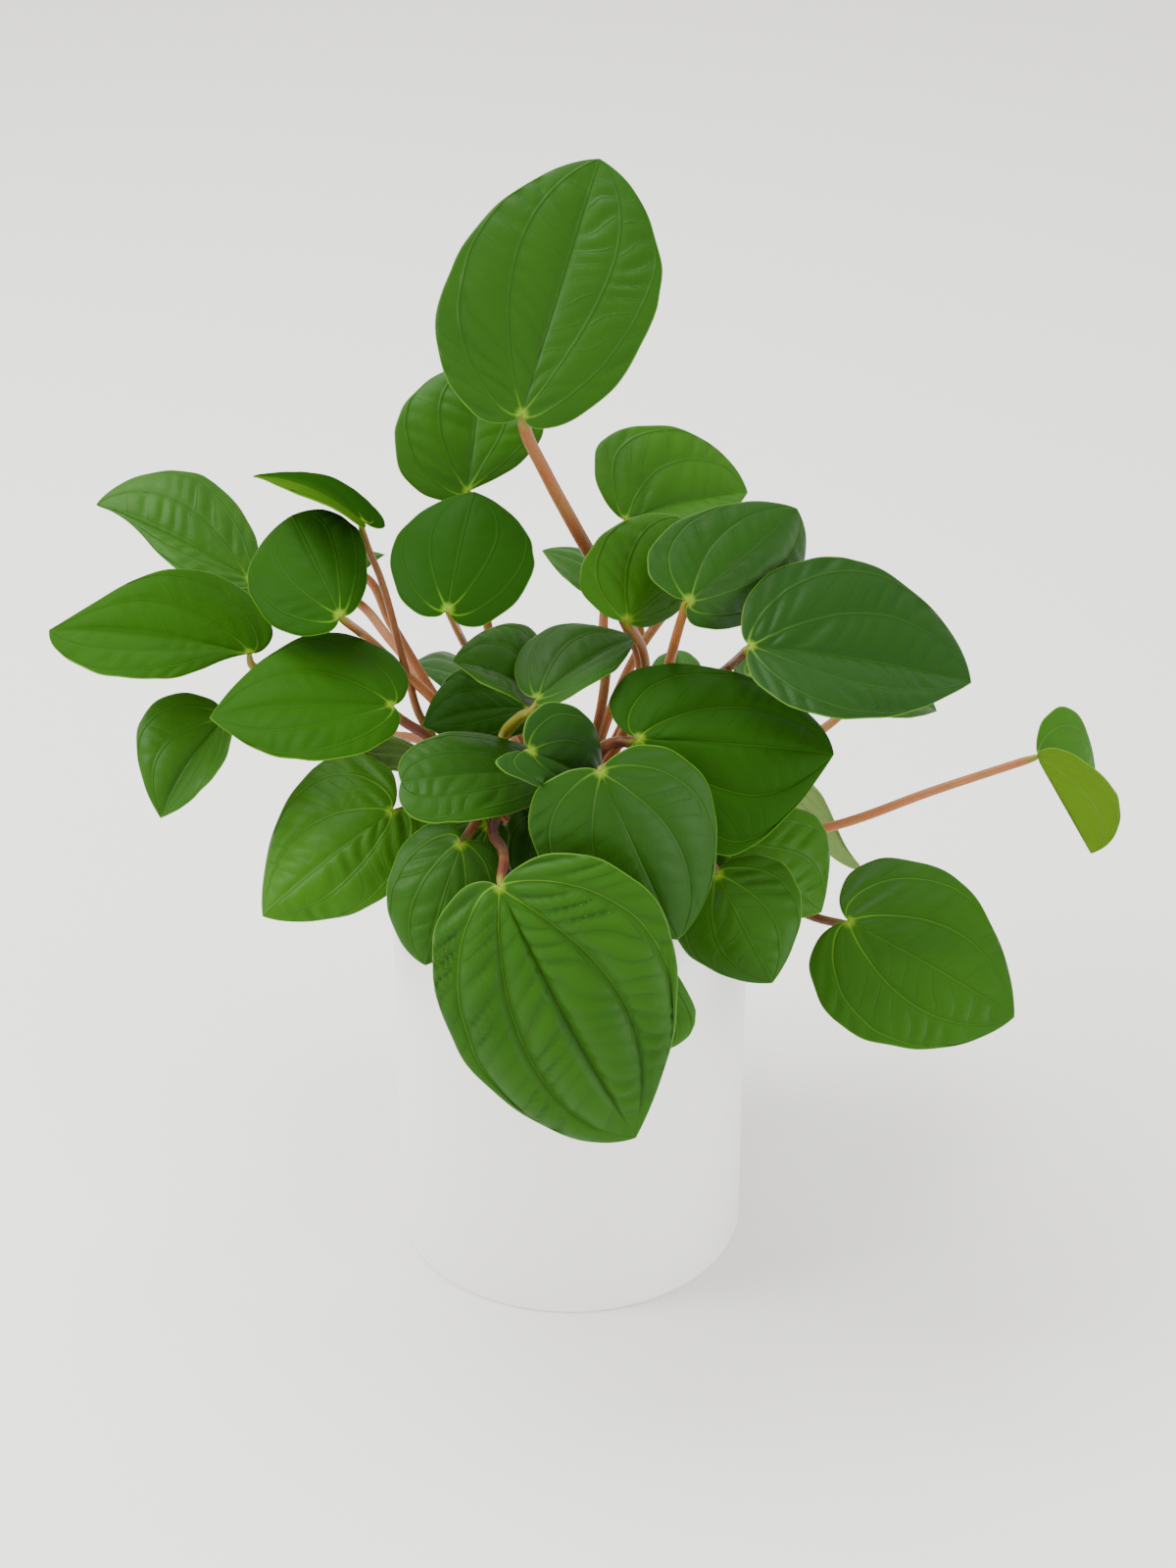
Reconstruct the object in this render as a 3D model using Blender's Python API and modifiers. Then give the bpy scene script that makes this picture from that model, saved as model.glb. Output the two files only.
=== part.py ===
"""Potted peperomia: a white cylinder pot, its potting soil, one branching stem with all its
petioles, and the heart-shaped blades. Metres, +Z up. The origin is the middle of the pot's
underside, and -Y is the side that the photograph shows."""

import math
from dataclasses import dataclass

import bmesh
import bpy
from mathutils import Vector

MM = 0.001

# The pot
POT_RADIUS = 0.075
POT_HEIGHT = 0.185
POT_WALL = 0.004
POT_FLOOR = 0.006
POT_SIDES = 56
FOOT_ROUND = 0.0015
RIM_ROUND = 0.0018

# The soil
GAP = 0.0003
SOIL_DROP = 0.017
SOIL_MOUND = 0.005
SOIL_TOP = POT_HEIGHT - SOIL_DROP
STEM_HOLE_DEPTH = 0.030
STEM_HOLE_SIDES = 16
MOUND_RINGS = (0.35, 0.7, 1)

# The stem: a short trunk in the soil and four branches that carry the petioles
TRUNK_PLACE = (0.004, 0.004)
TRUNK_RADIUS = 0.009
TRUNK_ABOVE_SOIL = 0.012
TRUNK_TAPER = 0.9
TRUNK_SIDES = 12
BRANCH_RADIUS = 0.0062
BRANCH_TAPER = 0.8
BRANCH_START = 0.006
BRANCH_SAG = 0.003
BRANCH_SIDES = 8
BRANCH_ENDS = {
    "left": (-0.024, -0.004, 0.200),
    "front": (0.002, -0.022, 0.196),
    "right": (0.031, 0.000, 0.202),
    "back": (0.004, 0.028, 0.198),
}

# The petioles: round stalks that thin towards the blade
PETIOLE_BASE = 0.0023
PETIOLE_TOP = 0.0016
PETIOLE_END = 0.0010
PETIOLE_SIDES = 6
PETIOLE_RISE = 0.014
# The end that comes up to a joint from under the blade, and how far it is turned from the tip
END_LENGTH = 0.0052
END_AWAY = 0.7
SEAT_PLAY = 0.1
SEAT_FALL = 1.3
# Petioles leave their branch spread along its outer part
ROOT_FIRST = 0.6
ROOT_SPREAD = 0.35
ROOT_STEP = 0.618

# The blades
BLADE = 0.0008
BLADE_ROWS = 9
BLADE_COLUMNS = 6
SMALL_ROWS = 7
SMALL_COLUMNS = 4
# The margin's control points, as shares of the midrib's length and of the half width
LOBE_BACK = -2.1
LOBE_OUT = 0.2
LOBE_REACH = 0.31
SHOULDER = 0.396
TAPER_START = 0.66
TAPER_FULL = 0.5
WELD = 1e-6

# The photograph's camera. A blade's places are read in the 1200 by 1600 picture and set back
# on an upright plane in front of the pot's axis.
VIEW_POINT = Vector((0.0077, -1.0219, 0.7749))
VIEW_PITCH = math.radians(28.7)
VIEW_FOCUS = 2889.0
VIEW_MIDDLE = (600.0, 800.0)


@dataclass
class Leaf:
    """One blade and its petiole. A place is (pixels across, pixels down, millimetres in front
    of the pot's axis). The two sides are the places where the blade is widest. The slope is how
    steeply the petiole comes up to the blade, at least."""

    name: str
    joint: tuple
    tip: tuple
    sides: tuple
    branch: str
    route: tuple = ()
    lobes: tuple = (0.14, 0.14)
    widest: tuple = (0.30, 0.30)
    full: tuple = (0.42, 0.42)
    arch: float = 3.0
    dome: float = 1.5
    wave: float = 0.7
    stout: float = 1.0
    slope: float = 0.85
    turned: bool = False
    small: bool = False


LEAVES = [
    Leaf("blade_top_1", joint=(533, 423, 20), tip=(612, 162, -35), branch="right",
         sides=((452, 293, -5), (670, 318, 5)), lobes=(0.07, 0.06), widest=(0.37, 0.55),
         full=(0.54, 0.62), route=((656, 684, -25), (636, 628, -20), (585, 535, -2), (558, 485, 8)),
         stout=1.4),
    Leaf("blade_top_2", joint=(478, 502, -40), tip=(490, 372, -75), branch="back",
         sides=((402, 445, -50), (555, 437, -55)), lobes=(0.09, -0.04), widest=(0.45, 0.62),
         full=(0.72, 0.55), route=((510, 690, -25), (498, 640, -35), (488, 570, -42))),
    Leaf("blade_top_3", joint=(457, 622, 40), tip=(484, 502, 0), branch="left",
         sides=((400, 562, 15), (545, 578, 25)), lobes=(0.09, 0.12), widest=(0.42, 0.45),
         full=(0.55, 0.55), route=((536, 762, -14), (502, 708, -27), (484, 676, -20)), stout=0.9),
    Leaf("blade_upper_right_1", joint=(638, 532, -70), tip=(763, 503, -95), branch="back",
         sides=((632, 439, -100), (690, 562, -45)), lobes=(0.07, 0.02), widest=(0.12, 0.35),
         full=(0.64, 0.42), route=((618, 690, -35), (616, 630, -50), (626, 575, -62))),
    Leaf("blade_upper_right_2", joint=(640, 633, 25), tip=(694, 528, -10), branch="back",
         sides=((598, 566, 12), (708, 604, 2)), lobes=(0.05, 0.05), widest=(0.34, 0.30),
         full=(0.60, 0.42),
         route=((640, 740, -4), (657, 695, -1), (656, 664, 8)), slope=0.7),
    Leaf("blade_upper_right_3", joint=(703, 613, 48), tip=(813, 519, 5), branch="right",
         sides=((680, 541, 25), (795, 618, 18)), lobes=(0.05, 0.10), widest=(0.20, 0.45),
         full=(0.46, 0.62), route=((682, 680, 18), (690, 650, 32))),
    Leaf("blade_upper_right_4", joint=(692, 730, -92), tip=(690, 664, -130), branch="back",
         sides=((663, 692, -108), (717, 690, -112)), small=True),
    Leaf("blade_upper_right_5", joint=(650, 612, -76), tip=(553, 562, -88), branch="back",
         sides=((614, 572, -104), (604, 611, -64)), route=((650, 700, -50), (654, 650, -66)),
         small=True),
    Leaf("blade_right_1", joint=(765, 660, 58), tip=(991, 697, 42), branch="right",
         sides=((856, 569, 15), (850, 733, 88)), lobes=(0.06, 0.02), widest=(0.33, 0.38),
         full=(0.56, 0.42), route=((706, 712, 0), (741, 683, 17))),
    Leaf("blade_right_2", joint=(768, 692, 0), tip=(880, 680, -25), branch="right",
         sides=((800, 640, -35), (800, 722, 14)), small=True),
    Leaf("blade_right_3", joint=(872, 716, -60), tip=(956, 726, -78), branch="back",
         sides=((905, 676, -95), (905, 733, -48)), route=((790, 775, -40), (845, 740, -54)),
         small=True),
    Leaf("blade_right_4", joint=(790, 790, -95), tip=(878, 884, -118), branch="back",
         sides=((832, 803, -106), (812, 840, -102)), widest=(0.3, 0.4), full=(0.05, 0.75),
         route=((700, 755, -38), (763, 762, -64)), turned=True, small=True),
    Leaf("blade_right_5", joint=(742, 868, 50), tip=(838, 931, 50), branch="right",
         sides=((831, 833, 28), (750, 930, 62)), widest=(0.48, 0.35), full=(0.5, 0.42)),
    Leaf("blade_right_6", joint=(732, 892, 72), tip=(788, 1003, 95), branch="right",
         sides=((813, 900, 72), (691, 958, 78)), lobes=(0.07, 0.08), widest=(0.35, 0.35),
         full=(0.45, 0.50)),
    Leaf("blade_right_7", joint=(866, 941, 55), tip=(1035, 1038, 80), branch="right",
         sides=((962, 888, 30), (871, 1055, 85)), lobes=(0.12, 0.09), widest=(0.29, 0.345),
         full=(0.45, 0.54), route=((765, 893, 30), (818, 930, 40))),
    Leaf("blade_right_8", joint=(1058, 772, -10), tip=(1114, 871, -5), branch="right",
         sides=((1135, 804, 22), (1105, 740, -35)), lobes=(0.06, 0.12), widest=(0.55, 0.10),
         full=(0.75, 0.42), arch=0.0, route=((790, 853, 8), (842, 845, 6), (958, 805, 0))),
    Leaf("blade_middle_1", joint=(652, 754, 60), tip=(851, 770, 60), branch="front",
         sides=((697, 677, 25), (732, 873, 78)), lobes=(0.12, 0.08), widest=(0.22, 0.44),
         full=(0.62, 0.42), route=((612, 768, 42), (632, 757, 53)), stout=1.2),
    Leaf("blade_middle_2", joint=(613, 787, 92), tip=(691, 959, 99), branch="front",
         sides=((546, 868, 90), (722, 803, 82)), lobes=(0.05, 0.05), widest=(0.32, 0.27),
         full=(0.45, 0.50), route=((624, 812, 52), (627, 781, 74)), stout=1.1),
    Leaf("blade_middle_3", joint=(545, 708, 22), tip=(461, 676, 30), branch="left",
         sides=((540, 641, -5), (516, 710, 45)), full=(0.60, 0.42),
         route=((548, 800, 8), (514, 757, 25), (533, 731, 27))),
    Leaf("blade_middle_4", joint=(549, 713, 44), tip=(651, 651, 2), branch="front",
         sides=((546, 649, 8), (614, 694, 40)), lobes=(0.06, 0.06), widest=(0.28, 0.50),
         route=((548, 800, 10), (513, 755, 27.5), (532, 730, 38))),
    Leaf("blade_middle_5", joint=(539, 723, 0), tip=(431, 742, 24), branch="left",
         sides=((476, 682, -15), (500, 757, 25)), widest=(0.50, 0.40), full=(0.5, 0.42)),
    Leaf("blade_middle_6", joint=(562, 792, 45), tip=(409, 798, 75), branch="left",
         sides=((470, 747, 38), (468, 840, 88)), widest=(0.56, 0.60), full=(0.78, 0.78),
         lobes=(0.10, 0.10)),
    Leaf("blade_middle_7", joint=(541, 767, 78), tip=(612, 805, 62), branch="front",
         sides=((583, 720, 56), (530, 796, 92)), lobes=(0.12, 0.12), widest=(0.20, 0.12),
         full=(0.5, 0.5), route=((584, 828, 32), (566, 802, 58)), stout=0.85),
    Leaf("blade_middle_8", joint=(505, 710, -55), tip=(419, 681, -80), branch="left",
         sides=((468, 671, -95), (474, 715, -45)), full=(0.42, 0.2), small=True),
    Leaf("blade_left_1", joint=(255, 593, -70), tip=(98, 515, -90), branch="left",
         sides=((212, 489, -112), (199, 594, -55)), widest=(0.48, 0.28), lobes=(0.04, 0.08),
         full=(0.60, 0.0), route=((440, 705, -28), (400, 638, -44), (368, 586, -56))),
    Leaf("blade_left_2", joint=(255, 668, -6), tip=(50, 643, 10), branch="left",
         sides=((201, 582, -40), (140, 694, 42)), widest=(0.33, 0.54), lobes=(0.10, -0.08),
         full=(0.33, 0.66), route=((440, 755, 16), (340, 700, 2))),
    Leaf("blade_left_3", joint=(347, 628, 25), tip=(298, 526, -22), branch="left",
         sides=((257, 612, 8), (369, 548, -12)), lobes=(0.10, 0.05), widest=(0.42, 0.60),
         full=(0.6, 0.82), route=((446, 718, -9), (412, 686, -12), (379, 655, -4))),
    Leaf("blade_left_4", joint=(400, 721, 38), tip=(214, 733, 55), branch="left",
         sides=((338, 646, 5), (325, 777, 76)), lobes=(0.10, 0.06), widest=(0.32, 0.42),
         full=(0.45, 0.45), route=((470, 785, 24), (434, 750, 35)), stout=1.1),
    Leaf("blade_left_5", joint=(228, 735, 8), tip=(164, 835, 32), branch="left",
         sides=((218, 793, 36), (148, 728, 5)), widest=(0.42, 0.28), lobes=(0.05, 0.10),
         route=((430, 790, -28), (330, 745, -12))),
    Leaf("blade_left_6", joint=(370, 533, -20), tip=(258, 486, -45), branch="left",
         sides=((357, 497, -72), (332, 517, 8)), lobes=(0.14, 0.04), widest=(0.26, 0.35),
         stout=0.8,
         route=((432, 737, -8), (416, 690, -12), (390, 595, -18))),
    Leaf("blade_left_7", joint=(326, 588, -88), tip=(393, 566, -98), branch="left",
         sides=((348, 566, -108), (350, 592, -78)), full=(0.1, 0.42),
         route=((400, 655, -66), (350, 606, -88)), small=True),
    Leaf("blade_low_left_1", joint=(400, 828, 32), tip=(268, 935, 48), branch="left",
         sides=((321, 784, 8), (400, 911, 50)), lobes=(0.10, 0.14), widest=(0.26, 0.35),
         full=(0.45, 0.50)),
    Leaf("blade_low_left_2", joint=(470, 861, 76), tip=(434, 985, 95), branch="left",
         sides=((398, 890, 74), (510, 914, 84)), lobes=(0.14, 0.06), widest=(0.38, 0.34),
         full=(0.60, 0.45)),
    Leaf("blade_low_left_3", joint=(497, 843, 46), tip=(448, 905, 54), branch="left",
         sides=((438, 852, 46), (506, 888, 58)), small=True),
    Leaf("blade_low_left_4", joint=(548, 838, 40), tip=(560, 930, 60), branch="front",
         sides=((514, 868, 44), (576, 864, 42)), small=True),
    Leaf("blade_low_left_5", joint=(436, 772, -4), tip=(366, 764, -4), branch="left",
         sides=((404, 754, 6), (402, 788, -14)), turned=True, small=True),
    Leaf("blade_front_1", joint=(510, 905, 105), tip=(649, 1161, 138), branch="front",
         sides=((460, 1058, 119), (677, 934, 118)), lobes=(0.07, 0.04), widest=(0.38, 0.36),
         full=(0.62, 0.42), arch=4.0, route=((524, 811, 36), (503, 844, 58), (514, 872, 82)),
         stout=1.1),
    Leaf("blade_front_2", joint=(650, 975, 90), tip=(680, 1071, 100), branch="front",
         sides=((709, 1030, 98), (628, 1035, 98)), widest=(0.60, 0.50), full=(0.6, 0.5),
         small=True),
    Leaf("blade_back_1", joint=(480, 740, -70), tip=(455, 790, -130), branch="back",
         sides=((430, 770, -95), (520, 775, -105)), turned=True, small=True),
    Leaf("blade_back_2", joint=(740, 760, -85), tip=(800, 790, -135), branch="back",
         sides=((790, 750, -115), (740, 810, -105)), turned=True, small=True),
    Leaf("blade_back_3", joint=(705, 585, -70), tip=(735, 560, -125), branch="back",
         sides=((690, 560, -110), (760, 585, -95)), small=True),
    Leaf("blade_back_4", joint=(850, 650, -75), tip=(900, 630, -130), branch="back",
         sides=((850, 610, -110), (900, 665, -95)), small=True),
    Leaf("blade_back_5", joint=(585, 772, -105), tip=(560, 880, -150), branch="back",
         sides=((508, 830, -120), (640, 835, -128)), turned=True),
    Leaf("blade_back_6", joint=(685, 702, -118), tip=(718, 692, -190), branch="back",
         sides=((657, 688, -165), (760, 707, -150)), route=((641, 750, -76), (668, 733, -108)),
         small=True),
    Leaf("blade_back_7", joint=(545, 690, -110), tip=(500, 690, -180), branch="back",
         sides=((470, 690, -140), (560, 680, -165)), small=True),
    Leaf("blade_back_8", joint=(352, 735, -80), tip=(290, 745, -130), branch="left",
         sides=((285, 735, -95), (355, 745, -125)), turned=True, small=True),
]


def seen(place):
    """The point that stands at a place of the photograph."""
    across, down, front = place
    forward = Vector((0, math.cos(VIEW_PITCH), -math.sin(VIEW_PITCH)))
    right = Vector((1, 0, 0))
    up = right.cross(forward)
    ray = forward * VIEW_FOCUS + right * (across - VIEW_MIDDLE[0]) - up * (down - VIEW_MIDDLE[1])
    return VIEW_POINT + ray * ((-front * MM - VIEW_POINT.y) / ray.y)


def cubic(points, share):
    """A point on the cubic Bezier curve through four control points."""
    rest = 1 - share
    weights = (rest**3, 3 * rest**2 * share, 3 * rest * share**2, share**3)
    return sum((Vector(p) * w for p, w in zip(points, weights)), Vector((0, 0)))


def margin(share, lobe, widest, full):
    """Half a heart outline: from the joint round the base lobe to the widest place, and on to
    the tip. It gives the share of the midrib's length and the share of the half width."""
    if share < 0.5:
        out = (LOBE_BACK * lobe, LOBE_OUT)
        return cubic(((0, 0), out, (widest - LOBE_REACH - lobe, 1), (widest, 1)), 2 * share)
    shoulder = widest + SHOULDER * (1 - widest)
    taper = TAPER_START + TAPER_FULL * full
    return cubic(((widest, 1), (shoulder, 1), (taper, full), (1, 0)), 2 * share - 1)


class Blade:
    """The middle surface of a blade. Its lines all start at the joint, arch along the blade as
    the veins do, and meet at the tip."""

    def __init__(self, leaf):
        self.leaf = leaf
        self.joint = seen(leaf.joint)
        self.along = seen(leaf.tip) - self.joint
        ends = [seen(side) for side in leaf.sides]
        self.up = self.along.cross(ends[1] - ends[0]).normalized()
        faces_view = self.up.dot(VIEW_POINT - self.joint) > 0
        if faces_view == leaf.turned:
            self.up.negate()
        self.halves = []
        for end, widest in zip(ends, leaf.widest):
            middle = self.joint + self.along * widest + self.up * self.arch(widest)
            self.halves.append(end - middle)

    def arch(self, share):
        """How far the midrib stands above the straight line from the joint to the tip."""
        return 4 * self.leaf.arch * MM * share * (1 - share)

    def fall(self):
        """How steeply the blade falls away round its joint, as a slope."""
        drops = [-half.dot(self.up) / half.length for half in self.halves]
        return max(0.0, *drops) + 4 * self.leaf.arch * MM / self.along.length

    def point(self, share, side):
        """The point at a share of a line's length, from -1 at one margin to 1 at the other."""
        k = 0 if side < 0 else 1
        out = abs(side)
        leaf = self.leaf
        along, across = margin(share, leaf.lobes[k], leaf.widest[k], leaf.full[k])
        rib = self.joint + self.along * share + self.up * self.arch(share)
        edge = self.joint + self.along * along + self.halves[k] * across
        edge += self.up * self.arch(along)
        swell = math.sin(math.pi * share)
        bulge = leaf.dome * 4 * out * (1 - out) * swell
        ripple = leaf.wave * out**3 * swell * math.sin(4 * math.pi * share + 2 * k)
        return rib.lerp(edge, out) + self.up * (bulge + ripple) * MM


def material(name, colour, roughness):
    made = bpy.data.materials.new(name)
    made.use_nodes = True
    shader = made.node_tree.nodes["Principled BSDF"]
    shader.inputs["Base Color"].default_value = (*colour, 1)
    shader.inputs["Roughness"].default_value = roughness
    shader.inputs["Metallic"].default_value = 0
    return made


def new_object(name, data, collection, finish=None):
    made = bpy.data.objects.new(name, data)
    collection.objects.link(made)
    if finish:
        data.materials.append(finish)
    return made


def evaluated_mesh(made):
    """The object's mesh as its modifiers leave it, with its caps welded."""
    bpy.context.view_layer.update()
    depsgraph = bpy.context.evaluated_depsgraph_get()
    mesh = bpy.data.meshes.new_from_object(made.evaluated_get(depsgraph))
    work = bmesh.new()
    work.from_mesh(mesh)
    bmesh.ops.remove_doubles(work, verts=work.verts, dist=WELD)
    bmesh.ops.recalc_face_normals(work, faces=work.faces)
    work.to_mesh(mesh)
    work.free()
    return mesh


def turned(name, profile, sides, collection, finish):
    """A solid turned round the Z axis from (radius, height) points that run top to bottom on the
    outer side."""
    work = bmesh.new()
    points = [work.verts.new((radius, 0, height)) for radius, height in profile]
    for start, end in zip(points, points[1:]):
        work.edges.new((start, end))
    mesh = bpy.data.meshes.new(name)
    work.to_mesh(mesh)
    work.free()
    made = new_object(name, mesh, collection, finish)
    screw = made.modifiers.new("turn", "SCREW")
    screw.steps = sides
    screw.render_steps = sides
    screw.use_merge_vertices = True
    screw.merge_threshold = 0.00001
    return made


def corner(middle, radius, start, end, steps=3):
    """Points of a rounded edge, from one angle to another in degrees."""
    angles = [math.radians(start + (end - start) * i / steps) for i in range(steps + 1)]
    return [(middle[0] + radius * math.cos(a), middle[1] + radius * math.sin(a)) for a in angles]


def build_pot(collection):
    """A plain cylinder with a small round at its foot, a rounded rim and a closed floor."""
    inner = POT_RADIUS - POT_WALL
    outer_rim = (POT_RADIUS - RIM_ROUND, POT_HEIGHT - RIM_ROUND)
    inner_rim = (inner + RIM_ROUND, POT_HEIGHT - RIM_ROUND)
    foot = (POT_RADIUS - FOOT_ROUND, FOOT_ROUND)
    profile = [(0, POT_FLOOR), (inner, POT_FLOOR)]
    profile += corner(inner_rim, RIM_ROUND, 180, 90)
    profile += corner(outer_rim, RIM_ROUND, 90, 0)
    profile += corner(foot, FOOT_ROUND, 0, -90)
    profile += [(0, 0)]
    finish = material("glazed_white", (0.82, 0.81, 0.79), 0.35)
    turned("pot", profile, POT_SIDES, collection, finish)


def build_soil(collection, cutters):
    """The soil fills the pot to just under its rim. The trunk stands in a plain hole in it."""
    radius = POT_RADIUS - POT_WALL - GAP
    profile = [(0, SOIL_TOP)]
    profile += [(radius * share, SOIL_TOP - SOIL_MOUND * share**3) for share in MOUND_RINGS]
    profile += [(radius, POT_FLOOR + GAP), (0, POT_FLOOR + GAP)]
    finish = material("soil", (0.045, 0.030, 0.020), 0.95)
    soil = turned("soil", profile, POT_SIDES, collection, finish)
    bpy.ops.mesh.primitive_cylinder_add(
        vertices=STEM_HOLE_SIDES,
        radius=TRUNK_RADIUS + GAP,
        depth=2 * STEM_HOLE_DEPTH,
        location=(*TRUNK_PLACE, SOIL_TOP),
    )
    hole = bpy.context.object
    hole.name = "trunk_hole"
    hole.hide_render = True
    hole.display_type = "WIRE"
    for holder in hole.users_collection:
        holder.objects.unlink(hole)
    cutters.objects.link(hole)
    cut = soil.modifiers.new("trunk hole", "BOOLEAN")
    cut.object = hole
    cut.operation = "DIFFERENCE"


def tube(name, points, collection, sides=PETIOLE_SIDES, steps=2):
    """A closed tube through (point, radius) pairs on one smooth curve, as a mesh."""
    curve = bpy.data.curves.new(name, "CURVE")
    curve.dimensions = "3D"
    curve.bevel_depth = 1.0
    curve.bevel_resolution = sides // 2 - 2
    curve.resolution_u = steps
    curve.use_fill_caps = True
    spline = curve.splines.new("BEZIER")
    spline.bezier_points.add(len(points) - 1)
    for knot, (place, radius) in zip(spline.bezier_points, points):
        knot.co = place
        knot.radius = radius
        knot.handle_left_type = "AUTO"
        knot.handle_right_type = "AUTO"
    made = new_object(name, curve, collection)
    mesh = evaluated_mesh(made)
    bpy.data.objects.remove(made)
    return new_object(name, mesh, collection)


def petiole_points(leaf, order):
    """The petiole's route: from inside its branch, along the places read for it, and up to the
    blade's underside at the joint."""
    blade = Blade(leaf)
    trunk_top = Vector((*TRUNK_PLACE, SOIL_TOP + TRUNK_ABOVE_SOIL))
    end = Vector(BRANCH_ENDS[leaf.branch])
    root = trunk_top.lerp(end, ROOT_FIRST + ROOT_SPREAD * (order * ROOT_STEP % 1))
    seat = BLADE / 2 + GAP + PETIOLE_END * (SEAT_PLAY + SEAT_FALL * blade.fall())
    top = blade.joint - blade.up * seat
    if leaf.route:
        middle = [seen(place) for place in leaf.route]
    else:
        middle = [root.lerp(top, 0.5) + Vector((0, 0, PETIOLE_RISE))]
    back = (middle[-1] - top).normalized()
    if -back.dot(blade.up) < leaf.slope:
        back -= blade.along.normalized() * END_AWAY
        back -= blade.up * back.dot(blade.up)
        back = back.normalized() * math.sqrt(1 - leaf.slope**2) - blade.up * leaf.slope
    bend = top + back * END_LENGTH
    route = [root, *middle, bend, top]
    last = len(route) - 1
    radii = [PETIOLE_BASE + (PETIOLE_TOP - PETIOLE_BASE) * i / last for i in range(last)]
    radii = [radius * leaf.stout for radius in radii]
    return list(zip(route, [*radii, PETIOLE_END]))


def build_stem(collection, repeats):
    """The trunk, its branches and every petiole, joined into one body."""
    finish = material("petiole", (0.36, 0.14, 0.055), 0.5)
    x, y = TRUNK_PLACE
    foot = Vector((x, y, SOIL_TOP - STEM_HOLE_DEPTH + GAP))
    top = Vector((x, y, SOIL_TOP + TRUNK_ABOVE_SOIL))
    ends = [(foot, TRUNK_RADIUS), (top, TRUNK_RADIUS * TRUNK_TAPER)]
    trunk = tube("stem_with_petioles", ends, collection, TRUNK_SIDES, 1)
    trunk.data.materials.append(finish)
    for name, place in BRANCH_ENDS.items():
        end = Vector(place)
        low = top - Vector((0, 0, BRANCH_START))
        turn = low.lerp(end, 0.5) - Vector((0, 0, BRANCH_SAG))
        places = [(low, BRANCH_RADIUS), (turn, BRANCH_RADIUS), (end, BRANCH_RADIUS * BRANCH_TAPER)]
        tube("branch_" + name, places, repeats, BRANCH_SIDES)
    for order, leaf in enumerate(LEAVES):
        tube("petiole_of_" + leaf.name, petiole_points(leaf, order), repeats)
    join = trunk.modifiers.new("join", "BOOLEAN")
    join.operation = "UNION"
    join.operand_type = "COLLECTION"
    join.collection = repeats
    trunk.data = evaluated_mesh(trunk)
    trunk.modifiers.clear()
    for made in list(repeats.objects):
        bpy.data.objects.remove(made)
    bpy.data.collections.remove(repeats)


def build_blade(leaf, collection, finish):
    """A thin blade: a grid laid on the blade's lines, cut into triangles and thickened."""
    blade = Blade(leaf)
    rows = SMALL_ROWS if leaf.small else BLADE_ROWS
    columns = SMALL_COLUMNS if leaf.small else BLADE_COLUMNS
    work = bmesh.new()
    bmesh.ops.create_grid(work, x_segments=columns, y_segments=rows, size=1)
    for vertex in work.verts:
        side, share = vertex.co.x, (vertex.co.y + 1) / 2
        vertex.co = blade.point(share, round(side, 6))
    bmesh.ops.remove_doubles(work, verts=work.verts, dist=WELD)
    bmesh.ops.triangulate(work, faces=work.faces)
    bmesh.ops.recalc_face_normals(work, faces=work.faces)
    mesh = bpy.data.meshes.new(leaf.name)
    work.to_mesh(mesh)
    work.free()
    made = new_object(leaf.name, mesh, collection, finish)
    solid = made.modifiers.new("thickness", "SOLIDIFY")
    solid.thickness = BLADE
    solid.offset = 0


def main():
    for old in list(bpy.data.objects):
        bpy.data.objects.remove(old)
    plant = bpy.data.collections.new("potted_peperomia")
    cutters = bpy.data.collections.new("cutters")
    repeats = bpy.data.collections.new("petioles")
    for made in (plant, cutters, repeats):
        bpy.context.scene.collection.children.link(made)
    build_pot(plant)
    build_soil(plant, cutters)
    build_stem(plant, repeats)
    finish = material("leaf", (0.065, 0.17, 0.02), 0.4)
    for leaf in LEAVES:
        build_blade(leaf, plant, finish)


main()
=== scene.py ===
"""The looks of the potted peperomia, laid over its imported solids. Metres, +Z up. The blades and
petioles repeat the numbers of the part's source, and add the relief, the veins and the colours."""

import math

import bpy
import numpy as np
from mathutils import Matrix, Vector


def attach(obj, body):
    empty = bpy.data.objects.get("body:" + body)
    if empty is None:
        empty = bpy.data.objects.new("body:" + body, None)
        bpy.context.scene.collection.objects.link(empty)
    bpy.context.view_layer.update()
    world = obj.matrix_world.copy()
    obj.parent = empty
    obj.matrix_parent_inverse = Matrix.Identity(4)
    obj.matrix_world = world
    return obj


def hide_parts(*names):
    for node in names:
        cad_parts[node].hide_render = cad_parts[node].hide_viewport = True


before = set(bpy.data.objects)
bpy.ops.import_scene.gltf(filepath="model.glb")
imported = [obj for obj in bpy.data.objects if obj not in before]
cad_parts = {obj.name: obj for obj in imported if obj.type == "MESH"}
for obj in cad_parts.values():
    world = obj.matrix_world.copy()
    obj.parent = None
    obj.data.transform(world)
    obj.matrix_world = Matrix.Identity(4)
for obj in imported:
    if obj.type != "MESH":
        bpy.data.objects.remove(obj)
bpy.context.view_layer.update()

MM = 0.001

# The pot and the soil, as in the part
POT_RADIUS = 0.075
POT_HEIGHT = 0.185
POT_WALL = 0.004
POT_FLOOR = 0.006
FOOT_ROUND = 0.0015
RIM_ROUND = 0.0018
GAP = 0.0003
SOIL_TOP = 0.168
SOIL_MOUND = 0.005
STEM_FOOT = 0.138

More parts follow.
